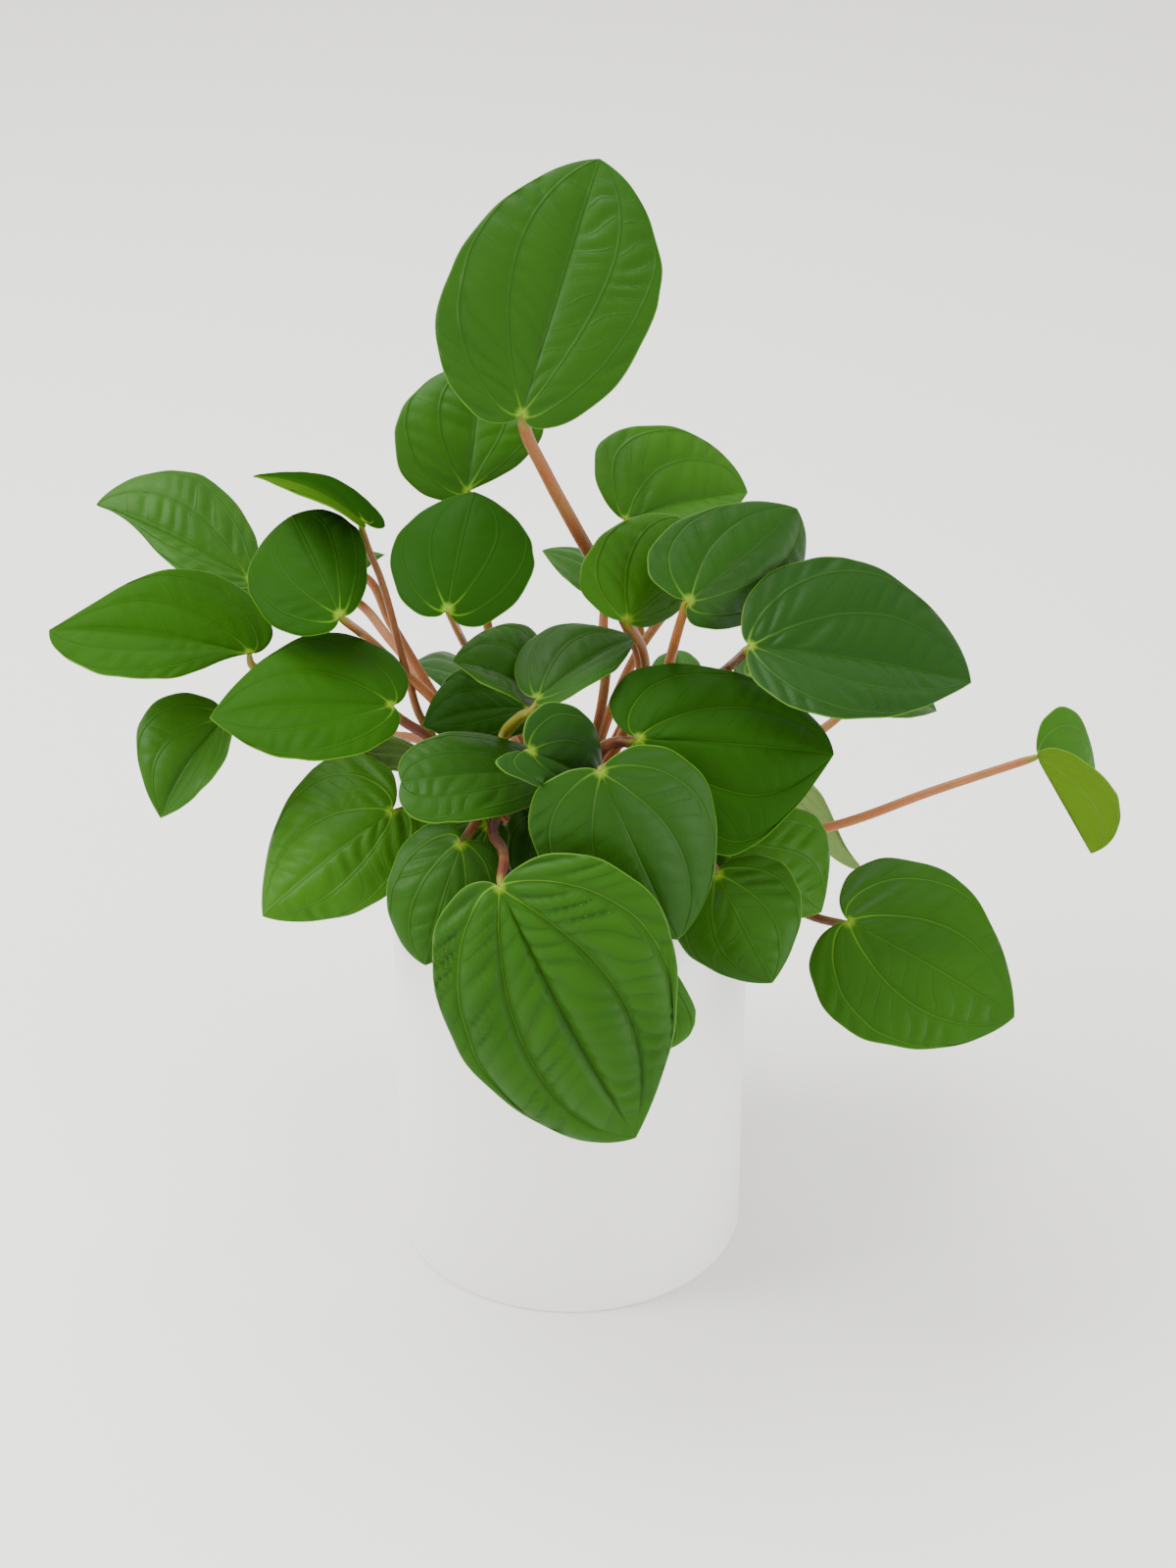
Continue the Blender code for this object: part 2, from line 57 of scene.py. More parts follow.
# The stem, as in the part
TRUNK_PLACE = (0.004, 0.004)
TRUNK_RADIUS = 0.009
TRUNK_ABOVE_SOIL = 0.012
TRUNK_TAPER = 0.9
BRANCH_RADIUS = 0.0062
BRANCH_TAPER = 0.8
BRANCH_START = 0.006
BRANCH_SAG = 0.003
BRANCH_ENDS = {
    "left": (-0.024, -0.004, 0.200),
    "front": (0.002, -0.022, 0.196),
    "right": (0.031, 0.000, 0.202),
    "back": (0.004, 0.028, 0.198),
}
PETIOLE_BASE = 0.0023
PETIOLE_TOP = 0.0016
PETIOLE_END = 0.0010
PETIOLE_RISE = 0.014
END_LENGTH = 0.0052
END_AWAY = 0.7
SEAT_PLAY = 0.1
SEAT_FALL = 1.3
ROOT_FIRST = 0.6
ROOT_SPREAD = 0.35
ROOT_STEP = 0.618

# The blades, as in the part
BLADE = 0.0008
BLADE_DOME = 1.5
BLADE_WAVE = 0.7
LOBE_BACK = -2.1
LOBE_OUT = 0.2
LOBE_REACH = 0.31
SHOULDER = 0.396
TAPER_START = 0.66
TAPER_FULL = 0.5

# The photograph's camera
VIEW_POINT = np.array((0.0077, -1.0219, 0.7749))
VIEW_PITCH = math.radians(28.7)
VIEW_FOCUS = 2889.0
VIEW_MIDDLE = (600.0, 800.0)
VIEW_LENS = 65.0
VIEW_SENSOR = 36.0

# The stage. A lamp has a width, a power, a place and the place that it shines at
FLOOR_REACH = 9.0
WORLD_COLOUR = (1.0, 0.985, 0.96, 1)
WORLD_STRENGTH = 1.4
LAMPS = {
    "sky": (2.0, 95, (-0.7, 0.7, 2.8), (0, 0, 0.2)),
    "key": (0.8, 24, (-1.35, -0.25, 1.15), (0, 0, 0.25)),
    "fill": (0.9, 14, (1.3, -0.9, 0.45), (0, 0, 0.1)),
}

# How finely things are drawn
BLADE_ROWS = 84
BLADE_COLUMNS = 48
SMALL_ROWS = 48
SMALL_COLUMNS = 28
TRUNK_SIDES = 24
BRANCH_SIDES = 20
PETIOLE_SIDES = 12
TUBE_STEPS = 12
POT_SIDES = 160
POT_ROWS = 26
ROUND_STEPS = 8
SOIL_RINGS = 60

# A petiole is shown to run on past its blade's joint, which closes the gap that the solids leave
# there. Its radius under the blade and its radius at its last point are shares of PETIOLE_END
KNOB_DEPTH = 0.0005
SHOWN_END = 1.3
SHOWN_LAST = 0.9

# The crumbs of the soil are random, its lumps are two crossing waves
SOIL_SEED = 5
CRUMB_HIGH = 0.0007
LUMP_HIGH = 0.0016
LUMP_WAVES = (310, 270)
CRUMB_LIMIT = 0.001

# The main veins of a blade, at shares of its half width. The inner two turn outwards: how far, and
# between which shares of the midrib's length
VEINS = (0.0, 0.36, 0.70, 1.0)
VEIN_TURNS = ((0.26, 0.25, 1.0), (0.29, 0.15, 0.85))

# A blade is puffed up between its main veins, by a share of each puff's width. The puffs fade at
# the joint and at the tip
PUFFS = (1.0, 0.85, 0.5)
PUFF_HIGH = 0.16
PUFF_LEAN = 0.8
PUFF_ROUND = 0.72
PUFF_START = (0.02, 0.16)
PUFF_FINISH = (0.0, 0.2)

# A groove marks each small vein that crosses a puff, in millimetres. A puff has grooves where it
# is wide enough, and they fade next to the main veins
GROOVE_PITCH = 8.5
GROOVE_SLANT = 0.55
GROOVE_DEEP = 1.0
GROOVE_BANDS = (0.7, 0.9, 1.0)
GROOVE_SHARP = 1.5
GROOVE_ROOM = (3, 9)
GROOVE_INSIDE = (0, 0.35)
GROOVE_OUTSIDE = (0, 0.2)

# The grooves stray from their even beat by two waves, each with a height in beats, a length in
# millimetres and a shift. Both the beat and the depth differ from puff to puff
WANDER_LONG = (0.3, 9, 2.4)
WANDER_SHORT = (0.22, 5.3, 4)
SHIFT_BAND = 0.37
SHIFT_SIDE = 0.21
DEPTH_MIDDLE = 0.6
DEPTH_SWING = 0.4
DEPTH_LONG = 10
DEPTH_WIDE = 8
DEPTH_BAND = 1.9

# The margin goes in and out by a share of the half width, in two waves along the blade, and gets
# thin. A low knob stands over the joint. The rounding and the knob are in millimetres
EDGE_RAGGED = 0.010
EDGE_LONG = 21
EDGE_SHORT = 43
EDGE_SECOND = 0.7
EDGE_ENDS = (0.03, 0.15)
EDGE_THICK = 0.45
EDGE_ROUND = 1.2
KNOB_HIGH = 0.5
KNOB_WIDE = 2.4

# Where across a blade the yellow of one half begins, and where it is full. That yellow is a
# painted glow of light shining through the half
FRESH_AND_GLOW_HALF = (-0.3, 0.4)

# What counts as no width and no area in a division, and a distance past any on a blade
NO_WIDTH = 1e-6
NO_AREA = 1e-14
FAR_AWAY = 1e3

# The blades, as in the part. Each joint, tip, side and point of a route is a place of the
# photograph, across and down, with how many millimetres it stands in front of the pot's axis
LEAVES = [
    dict(name="blade_top_1", joint=(533, 423, 20), tip=(612, 162, -35), branch="right",
         sides=((452, 293, -5), (670, 318, 5)), lobes=(0.07, 0.06), widest=(0.37, 0.55),
         full=(0.54, 0.62), stout=1.4,
         route=((656, 684, -25), (636, 628, -20), (585, 535, -2), (558, 485, 8))),
    dict(name="blade_top_2", joint=(478, 502, -40), tip=(490, 372, -75), branch="back",
         sides=((402, 445, -50), (555, 437, -55)), lobes=(0.09, -0.04), widest=(0.45, 0.62),
         full=(0.72, 0.55), route=((510, 690, -25), (498, 640, -35), (488, 570, -42))),
    dict(name="blade_top_3", joint=(457, 622, 40), tip=(484, 502, 0), branch="left",
         sides=((400, 562, 15), (545, 578, 25)), lobes=(0.09, 0.12), widest=(0.42, 0.45),
         full=(0.55, 0.55), route=((536, 762, -14), (502, 708, -27), (484, 676, -20)), stout=0.9),
    dict(name="blade_upper_right_1", joint=(638, 532, -70), tip=(763, 503, -95), branch="back",
         sides=((632, 439, -100), (690, 562, -45)), lobes=(0.07, 0.02), widest=(0.12, 0.35),
         full=(0.64, 0.42), route=((618, 690, -35), (616, 630, -50), (626, 575, -62))),
    dict(name="blade_upper_right_2", joint=(640, 633, 25), tip=(694, 528, -10), branch="back",
         sides=((598, 566, 12), (708, 604, 2)), lobes=(0.05, 0.05), widest=(0.34, 0.30),
         full=(0.60, 0.42), slope=0.7, route=((640, 740, -4), (657, 695, -1), (656, 664, 8))),
    dict(name="blade_upper_right_3", joint=(703, 613, 48), tip=(813, 519, 5), branch="right",
         sides=((680, 541, 25), (795, 618, 18)), lobes=(0.05, 0.10), widest=(0.20, 0.45),
         full=(0.46, 0.62), route=((682, 680, 18), (690, 650, 32))),
    dict(name="blade_upper_right_4", joint=(692, 730, -92), tip=(690, 664, -130), branch="back",
         sides=((663, 692, -108), (717, 690, -112)), small=True),
    dict(name="blade_upper_right_5", joint=(650, 612, -76), tip=(553, 562, -88), branch="back",
         sides=((614, 572, -104), (604, 611, -64)), route=((650, 700, -50), (654, 650, -66)),
         small=True),
    dict(name="blade_right_1", joint=(765, 660, 58), tip=(991, 697, 42), branch="right",
         sides=((856, 569, 15), (850, 733, 88)), lobes=(0.06, 0.02), widest=(0.33, 0.38),
         full=(0.56, 0.42), route=((706, 712, 0), (741, 683, 17))),
    dict(name="blade_right_2", joint=(768, 692, 0), tip=(880, 680, -25), branch="right",
         sides=((800, 640, -35), (800, 722, 14)), small=True),
    dict(name="blade_right_3", joint=(872, 716, -60), tip=(956, 726, -78), branch="back",
         sides=((905, 676, -95), (905, 733, -48)), route=((790, 775, -40), (845, 740, -54)),
         small=True),
    dict(name="blade_right_4", joint=(790, 790, -95), tip=(878, 884, -118), branch="back",
         sides=((832, 803, -106), (812, 840, -102)), widest=(0.3, 0.4), full=(0.05, 0.75),
         route=((700, 755, -38), (763, 762, -64)), turned=True, small=True),
    dict(name="blade_right_5", joint=(742, 868, 50), tip=(838, 931, 50), branch="right",
         sides=((831, 833, 28), (750, 930, 62)), widest=(0.48, 0.35), full=(0.5, 0.42)),
    dict(name="blade_right_6", joint=(732, 892, 72), tip=(788, 1003, 95), branch="right",
         sides=((813, 900, 72), (691, 958, 78)), lobes=(0.07, 0.08), widest=(0.35, 0.35),
         full=(0.45, 0.50)),
    dict(name="blade_right_7", joint=(866, 941, 55), tip=(1035, 1038, 80), branch="right",
         sides=((962, 888, 30), (871, 1055, 85)), lobes=(0.12, 0.09), widest=(0.29, 0.345),
         full=(0.45, 0.54), route=((765, 893, 30), (818, 930, 40))),
    dict(name="blade_right_8", joint=(1058, 772, -10), tip=(1114, 871, -5), branch="right",
         sides=((1135, 804, 22), (1105, 740, -35)), lobes=(0.06, 0.12), widest=(0.55, 0.10),
         full=(0.75, 0.42), arch=0.0, route=((790, 853, 8), (842, 845, 6), (958, 805, 0))),
    dict(name="blade_middle_1", joint=(652, 754, 60), tip=(851, 770, 60), branch="front",
         sides=((697, 677, 25), (732, 873, 78)), lobes=(0.12, 0.08), widest=(0.22, 0.44),
         full=(0.62, 0.42), route=((612, 768, 42), (632, 757, 53)), stout=1.2),
    dict(name="blade_middle_2", joint=(613, 787, 92), tip=(691, 959, 99), branch="front",
         sides=((546, 868, 90), (722, 803, 82)), lobes=(0.05, 0.05), widest=(0.32, 0.27),
         full=(0.45, 0.50), route=((624, 812, 52), (627, 781, 74)), stout=1.1),
    dict(name="blade_middle_3", joint=(545, 708, 22), tip=(461, 676, 30), branch="left",
         sides=((540, 641, -5), (516, 710, 45)), full=(0.60, 0.42),
         route=((548, 800, 8), (514, 757, 25), (533, 731, 27))),
    dict(name="blade_middle_4", joint=(549, 713, 44), tip=(651, 651, 2), branch="front",
         sides=((546, 649, 8), (614, 694, 40)), lobes=(0.06, 0.06), widest=(0.28, 0.50),
         route=((548, 800, 10), (513, 755, 27.5), (532, 730, 38))),
    dict(name="blade_middle_5", joint=(539, 723, 0), tip=(431, 742, 24), branch="left",
         sides=((476, 682, -15), (500, 757, 25)), widest=(0.50, 0.40), full=(0.5, 0.42)),
    dict(name="blade_middle_6", joint=(562, 792, 45), tip=(409, 798, 75), branch="left",
         sides=((470, 747, 38), (468, 840, 88)), widest=(0.56, 0.60), full=(0.78, 0.78),
         lobes=(0.10, 0.10)),
    dict(name="blade_middle_7", joint=(541, 767, 78), tip=(612, 805, 62), branch="front",
         sides=((583, 720, 56), (530, 796, 92)), lobes=(0.12, 0.12), widest=(0.20, 0.12),
         full=(0.5, 0.5), route=((584, 828, 32), (566, 802, 58)), stout=0.85),
    dict(name="blade_middle_8", joint=(505, 710, -55), tip=(419, 681, -80), branch="left",
         sides=((468, 671, -95), (474, 715, -45)), full=(0.42, 0.2), small=True),
    dict(name="blade_left_1", joint=(255, 593, -70), tip=(98, 515, -90), branch="left",
         sides=((212, 489, -112), (199, 594, -55)), widest=(0.48, 0.28), lobes=(0.04, 0.08),
         full=(0.60, 0.0), route=((440, 705, -28), (400, 638, -44), (368, 586, -56))),
    dict(name="blade_left_2", joint=(255, 668, -6), tip=(50, 643, 10), branch="left",
         sides=((201, 582, -40), (140, 694, 42)), widest=(0.33, 0.54), lobes=(0.10, -0.08),
         full=(0.33, 0.66), route=((440, 755, 16), (340, 700, 2))),
    dict(name="blade_left_3", joint=(347, 628, 25), tip=(298, 526, -22), branch="left",
         sides=((257, 612, 8), (369, 548, -12)), lobes=(0.10, 0.05), widest=(0.42, 0.60),
         full=(0.6, 0.82), route=((446, 718, -9), (412, 686, -12), (379, 655, -4))),
    dict(name="blade_left_4", joint=(400, 721, 38), tip=(214, 733, 55), branch="left",
         sides=((338, 646, 5), (325, 777, 76)), lobes=(0.10, 0.06), widest=(0.32, 0.42),
         full=(0.45, 0.45), route=((470, 785, 24), (434, 750, 35)), stout=1.1),
    dict(name="blade_left_5", joint=(228, 735, 8), tip=(164, 835, 32), branch="left",
         sides=((218, 793, 36), (148, 728, 5)), widest=(0.42, 0.28), lobes=(0.05, 0.10),
         route=((430, 790, -28), (330, 745, -12))),
    dict(name="blade_left_6", joint=(370, 533, -20), tip=(258, 486, -45), branch="left",
         sides=((357, 497, -72), (332, 517, 8)), lobes=(0.14, 0.04), widest=(0.26, 0.35),
         stout=0.8, route=((432, 737, -8), (416, 690, -12), (390, 595, -18))),
    dict(name="blade_left_7", joint=(326, 588, -88), tip=(393, 566, -98), branch="left",
         sides=((348, 566, -108), (350, 592, -78)), full=(0.1, 0.42),
         route=((400, 655, -66), (350, 606, -88)), small=True),
    dict(name="blade_low_left_1", joint=(400, 828, 32), tip=(268, 935, 48), branch="left",
         sides=((321, 784, 8), (400, 911, 50)), lobes=(0.10, 0.14), widest=(0.26, 0.35),
         full=(0.45, 0.50)),
    dict(name="blade_low_left_2", joint=(470, 861, 76), tip=(434, 985, 95), branch="left",
         sides=((398, 890, 74), (510, 914, 84)), lobes=(0.14, 0.06), widest=(0.38, 0.34),
         full=(0.60, 0.45)),
    dict(name="blade_low_left_3", joint=(497, 843, 46), tip=(448, 905, 54), branch="left",
         sides=((438, 852, 46), (506, 888, 58)), small=True),
    dict(name="blade_low_left_4", joint=(548, 838, 40), tip=(560, 930, 60), branch="front",
         sides=((514, 868, 44), (576, 864, 42)), small=True),
    dict(name="blade_low_left_5", joint=(436, 772, -4), tip=(366, 764, -4), branch="left",
         sides=((404, 754, 6), (402, 788, -14)), turned=True, small=True),
    dict(name="blade_front_1", joint=(510, 905, 105), tip=(649, 1161, 138), branch="front",
         sides=((460, 1058, 119), (677, 934, 118)), lobes=(0.07, 0.04), widest=(0.38, 0.36),
         full=(0.62, 0.42), arch=4.0, route=((524, 811, 36), (503, 844, 58), (514, 872, 82)),
         stout=1.1),
    dict(name="blade_front_2", joint=(650, 975, 90), tip=(680, 1071, 100), branch="front",
         sides=((709, 1030, 98), (628, 1035, 98)), widest=(0.60, 0.50), full=(0.6, 0.5),
         small=True),
    dict(name="blade_back_1", joint=(480, 740, -70), tip=(455, 790, -130), branch="back",
         sides=((430, 770, -95), (520, 775, -105)), turned=True, small=True),
    dict(name="blade_back_2", joint=(740, 760, -85), tip=(800, 790, -135), branch="back",
         sides=((790, 750, -115), (740, 810, -105)), turned=True, small=True),
    dict(name="blade_back_3", joint=(705, 585, -70), tip=(735, 560, -125), branch="back",
         sides=((690, 560, -110), (760, 585, -95)), small=True),
    dict(name="blade_back_4", joint=(850, 650, -75), tip=(900, 630, -130), branch="back",
         sides=((850, 610, -110), (900, 665, -95)), small=True),
    dict(name="blade_back_5", joint=(585, 772, -105), tip=(560, 880, -150), branch="back",
         sides=((508, 830, -120), (640, 835, -128)), turned=True),
    dict(name="blade_back_6", joint=(685, 702, -118), tip=(718, 692, -190), branch="back",
         sides=((657, 688, -165), (760, 707, -150)), route=((641, 750, -76), (668, 733, -108)),
         small=True),
    dict(name="blade_back_7", joint=(545, 690, -110), tip=(500, 690, -180), branch="back",
         sides=((470, 690, -140), (560, 680, -165)), small=True),
    dict(name="blade_back_8", joint=(352, 735, -80), tip=(290, 745, -130), branch="left",
         sides=((285, 735, -95), (355, 745, -125)), turned=True, small=True),
]

# The look of a blade: how light its green is, how far it is puffed up, how deep its grooves
# are, how clear its veins are, how yellow its top is (or, below 0, its underside), and which half
# that yellow keeps to. The yellow is partly the blade's own and partly a painted glow of light
# shining through the thin blade. The further the last value is from 0, the more matt the blade is
PLAIN = (0.35, 0.6, 0.5, 0.2, 0.0, 0.0)
LOOKS = {
    "top_1": (0.32, 0.40, 1.30, 0.15, 0.0, 0.0),
    "top_2": (0.45, 0.40, 1.00, 0.10, 0.0, 0.0),
    "top_3": (0.05, 0.30, 0.3, 0.15, 0.0, 0.7),
    "upper_right_1": (0.60, 0.45, 1.2, 0.25, 0.0, 0.0),
    "upper_right_2": (0.80, 0.45, 1.00, 0.30, 0.0, 0.0),
    "upper_right_3": (0.12, 0.50, 1.00, 0.35, 0.0, 0.0),
    "right_1": (0.00, 0.40, 1.50, 0.30, 0.0, 0.0),
    "right_4": (1.00, 0.40, 0.4, 0.20, 0.0, 0.0),
    "right_5": (0.70, 0.50, 1.3, 0.40, 0.0, 0.0),
    "right_6": (0.42, 0.50, 1.60, 0.40, 0.0, 0.0),
    "right_7": (0.52, 0.45, 1.20, 0.90, 0.0, 0.0),
    "right_8": (0.80, 0.40, 0.8, 0.50, -1.0, 0.0),
    "middle_1": (0.15, 0.95, 1.00, 0.45, 0.0, 0.7),
    "middle_2": (0.24, 0.65, 1.00, 0.45, 0.0, 0.0),
    "middle_3": (0.36, 0.45, 0.9, 0.30, 0.0, 0.0),
    "middle_4": (0.30, 0.50, 0.4, 0.20, 0.0, 0.0),
    "middle_5": (0.10, 0.55, 1.20, 0.15, 0.0, 0.7),
    "middle_6": (0.30, 0.35, 0.90, 0.20, 0.0, 0.0),
    "middle_7": (0.05, 0.60, 0.7, 0.30, 0.0, 0.0),
    "left_1": (0.60, 0.45, 0.90, 0.10, 0.0, 0.0),
    "left_2": (0.40, 0.45, 0.70, 0.20, 0.0, 0.7),
    "left_3": (0.15, 0.45, 0.60, 0.20, 0.0, 0.7),
    "left_4": (0.32, 0.45, 0.60, 0.25, 0.0, 0.7),
    "left_5": (0.60, 0.50, 0.5, 0.15, 0.0, 0.0),
    "left_6": (0.0, 0.30, 0.2, 0.10, 0.35, 1.0),
    "low_left_1": (1.05, 0.70, 1.6, 1.00, 0.0, 0.0),
    "low_left_2": (0.42, 0.50, 1.1, 0.50, 0.0, 0.0),
    "front_2": (0.60, 0.50, 0.5, 0.10, 0.0, 0.0),
    "middle_8": (0.15, 0.50, 0.5, 0.10, 0.0, 0.0),
    "front_1": (0.44, 1.70, 2.5, 1.00, 0.0, 0.0),
}

# The petioles: how light the brown is, which ones are dark, and the young ones, along which the
# green of the joint reaches further
TRUNK_TONE = 0.35
BRANCH_TONE = 0.45
DARK_TONE = 0.1
TONE_LEAST = 0.6
TONE_SPREAD = 0.4
TONE_STEP = 0.381
DARK_PETIOLES = ("blade_left_4", "blade_right_1", "blade_middle_1", "blade_middle_2",
                 "blade_right_7", "blade_front_1", "blade_low_left_3")
YOUNG_PETIOLES = ("blade_middle_3", "blade_middle_4", "blade_middle_5", "blade_middle_7")
YOUNG_GREEN = 9.0

# The colours, as red, green and blue
LEAF_DARK = (0.010, 0.047, 0.0030)
LEAF_LIGHT = (0.036, 0.130, 0.0040)
# Yellow-green, partly a young blade's own colour and partly a painted glow of light shining
# through the blade
LEAF_FRESH_AND_GLOW = (0.095, 0.200, 0.012)
LEAF_CLOUD = (0.010, 0.047, 0.002)
# Painted shade in the valleys between the puffs and in the grooves of the small veins
LEAF_VALLEY_SHADE = (0.008, 0.038, 0.002)
# Painted shade over the broad folds around the grooves
LEAF_FOLD_SHADE = (0.010, 0.045, 0.002)
LEAF_VEIN = (0.085, 0.21, 0.009)
LEAF_JOINT = (0.17, 0.29, 0.012)
# The pale margin of the top, partly its own colour and partly a painted rim highlight
LEAF_PALE_RIM_AND_HIGHLIGHT = (0.11, 0.25, 0.018)
LEAF_SPECK = (0.05, 0.035, 0.01)
# The underside's greens are paler than the top's: partly their own colour, partly painted light
# shining through the blade
UNDER_DARK = (0.030, 0.075, 0.016)
UNDER_LIGHT = (0.14, 0.21, 0.065)
UNDER_CLOUD = (0.05, 0.10, 0.02)
UNDER_VEIN = (0.14, 0.23, 0.05)
# The pale margin of the underside, partly its own colour and partly a painted rim highlight
UNDER_PALE_RIM_AND_HIGHLIGHT = (0.13, 0.25, 0.03)
PETIOLE_DARK = (0.080, 0.016, 0.008)
PETIOLE_LIGHT = (0.36, 0.125, 0.038)
PETIOLE_CLOUD = (0.20, 0.12, 0.03)
PETIOLE_SPECK = (0.08, 0.018, 0.009)
PETIOLE_GREEN = (0.17, 0.21, 0.012)
GLAZE_DULL = (0.89, 0.885, 0.87)
GLAZE_CLEAR = (0.92, 0.915, 0.90)
SOIL_DARK = (0.012, 0.008, 0.006)
SOIL_LIGHT = (0.055, 0.036, 0.022)
FLOOR_DULL = (0.895, 0.885, 0.87)
FLOOR_CLEAR = (0.905, 0.895, 0.88)


def seen(place):
    """The point that stands at a place of the photograph."""
    across, down, front = place
    forward = np.array((0, math.cos(VIEW_PITCH), -math.sin(VIEW_PITCH)))
    right = np.array((1.0, 0, 0))
    up = np.cross(right, forward)
    ray = forward * VIEW_FOCUS + right * (across - VIEW_MIDDLE[0]) - up * (down - VIEW_MIDDLE[1])
    return VIEW_POINT + ray * ((-front * MM - VIEW_POINT[1]) / ray[1])


def unit(vector):
    return vector / np.linalg.norm(vector)


def cubic(points, share):
    rest = 1 - share
    weights = np.stack((rest**3, 3 * rest**2 * share, 3 * rest * share**2, share**3), -1)
    return weights @ np.array(points, float)


def margin(share, lobe, widest, full):
    """Half a heart outline, as shares of the midrib's length and of the half width."""
    out = (LOBE_BACK * lobe, LOBE_OUT)
    reach = (widest - LOBE_REACH - lobe, 1)
    low = cubic(((0, 0), out, reach, (widest, 1)), np.clip(2 * share, 0, 1))
    shoulder = widest + SHOULDER * (1 - widest)
    taper = TAPER_START + TAPER_FULL * full
    points = ((widest, 1), (shoulder, 1), (taper, full), (1, 0))
    high = cubic(points, np.clip(2 * share - 1, 0, 1))
    return np.where(share[..., None] < 0.5, low, high)


def smooth(value, low, high):
    x = np.clip((value - low) / (high - low), 0, 1)
    return x * x * (3 - 2 * x)


class Blade:
    """A blade's middle surface. Its lines run from the joint to the tip."""

    def __init__(self, name, joint, tip, sides, branch, route=(), lobes=(0.14, 0.14),
                 widest=(0.30, 0.30), full=(0.42, 0.42), arch=3.0, stout=1.0, slope=0.85,
                 turned=False, small=False):
        self.name = name
        self.branch = branch
        self.route = route
        self.lobes = lobes
        self.widest = widest
        self.full = full
        self.high = arch
        self.stout = stout
        self.slope = slope
        self.small = small
        self.joint = seen(joint)
        self.along = seen(tip) - self.joint
        self.length = np.linalg.norm(self.along)
        ends = [seen(side) for side in sides]
        self.up = unit(np.cross(self.along, ends[1] - ends[0]))
        if (self.up @ (VIEW_POINT - self.joint) > 0) == turned:
            self.up = -self.up
        self.halves = []
        for end, place in zip(ends, widest):
            middle = self.joint + self.along * place + self.up * self.arch(place)
            self.halves.append(end - middle)

    def arch(self, share):
        return 4 * self.high * MM * share * (1 - share)

    def fall(self):
        drops = [-half @ self.up / np.linalg.norm(half) for half in self.halves]
        return max(0.0, *drops) + 4 * self.high * MM / self.length

    def middle(self, share, side):
        """Points at shares of the lines' length, from -1 at one margin to 1 at the other."""
        out = np.abs(side)[..., None]
        s = share[..., None]
        rib = self.joint + self.along * s + self.up * self.arch(s)
        swell = np.sin(math.pi * share)
        sheets = []
        for k in (0, 1):
            edge = margin(share, self.lobes[k], self.widest[k], self.full[k])
            far = self.joint + self.along * edge[..., :1] + self.halves[k] * edge[..., 1:]
            far = far + self.up * self.arch(edge[..., :1])
            ripple = BLADE_WAVE * np.abs(side)**3 * swell * np.sin(4 * math.pi * share + 2 * k)
            sheets.append(rib + (far - rib) * out + self.up * ripple[..., None] * MM)
        place = np.where(side[..., None] < 0, sheets[0], sheets[1])
        bulge = BLADE_DOME * 4 * out[..., 0] * (1 - out[..., 0]) * swell
        return place + self.up * bulge[..., None] * MM


def placed(name, data):
    """A new object in the scene."""
    made = bpy.data.objects.new(name, data)
    bpy.context.scene.collection.objects.link(made)
    return made


def smooth_piece(name, mesh, finish):
    """A new object in the scene with smooth faces and one material."""
    mesh.polygons.foreach_set("use_smooth", [True] * len(mesh.polygons))
    mesh.update()
    mesh.materials.clear()
    mesh.materials.append(finish)
    return placed(name, mesh)


def add_fact(mesh, key, values):
    """A number at each point of a mesh, which its material can read."""
    layer = mesh.attributes.new(key, "FLOAT", "POINT")
    layer.data.foreach_set("value", values.astype(np.float32))


def shell(name, top, under, facts, finish):
    """A closed piece between two grids whose first and last rows are single points."""
    rows, columns = top.shape[0] - 1, top.shape[1] - 1
    size = 2 + (rows - 1) * (columns + 1)

    def index(i, j):
        inner = 1 + (i - 1) * (columns + 1) + j
        return np.where(i == 0, 0, np.where(i == rows, size - 1, inner))

    def packed(grid):
        inner = grid[1:-1].reshape(-1, *grid.shape[2:])
        return np.concatenate((grid[:1, 0], inner, grid[-1:, 0]))

    i, j = [a.ravel() for a in np.meshgrid(np.arange(rows), np.arange(columns), indexing="ij")]
    quads = np.stack((index(i, j), index(i, j + 1), index(i + 1, j + 1), index(i + 1, j)), -1)
    faces = [list(dict.fromkeys(quad)) for quad in quads.tolist()]
    faces += [[size + corner for corner in reversed(face)] for face in faces]
    for i in range(rows):
        for j, flip in ((0, False), (columns, True)):
            low, high = int(index(i, j)), int(index(i + 1, j))
            strip = [low, high, size + high, size + low]
            faces.append(strip[::-1] if flip else strip)
    points = np.concatenate((packed(top), packed(under)))
    mesh = bpy.data.meshes.new(name)
    mesh.from_pydata(points.tolist(), [], faces)
    for key, grid in facts.items():
        add_fact(mesh, key, np.concatenate((packed(grid), packed(grid))))
    add_fact(mesh, "under", np.repeat((0.0, 1.0), size))
    return smooth_piece(name, mesh, finish)


def lengths(points, axis):
    """How far apart neighbours on a grid stand, summed from the first one on."""
    steps = np.linalg.norm(np.diff(points, axis=axis), axis=-1)
    total = np.cumsum(steps, axis=axis)
    return np.concatenate((np.zeros_like(np.take(total, [0], axis)), total), axis)


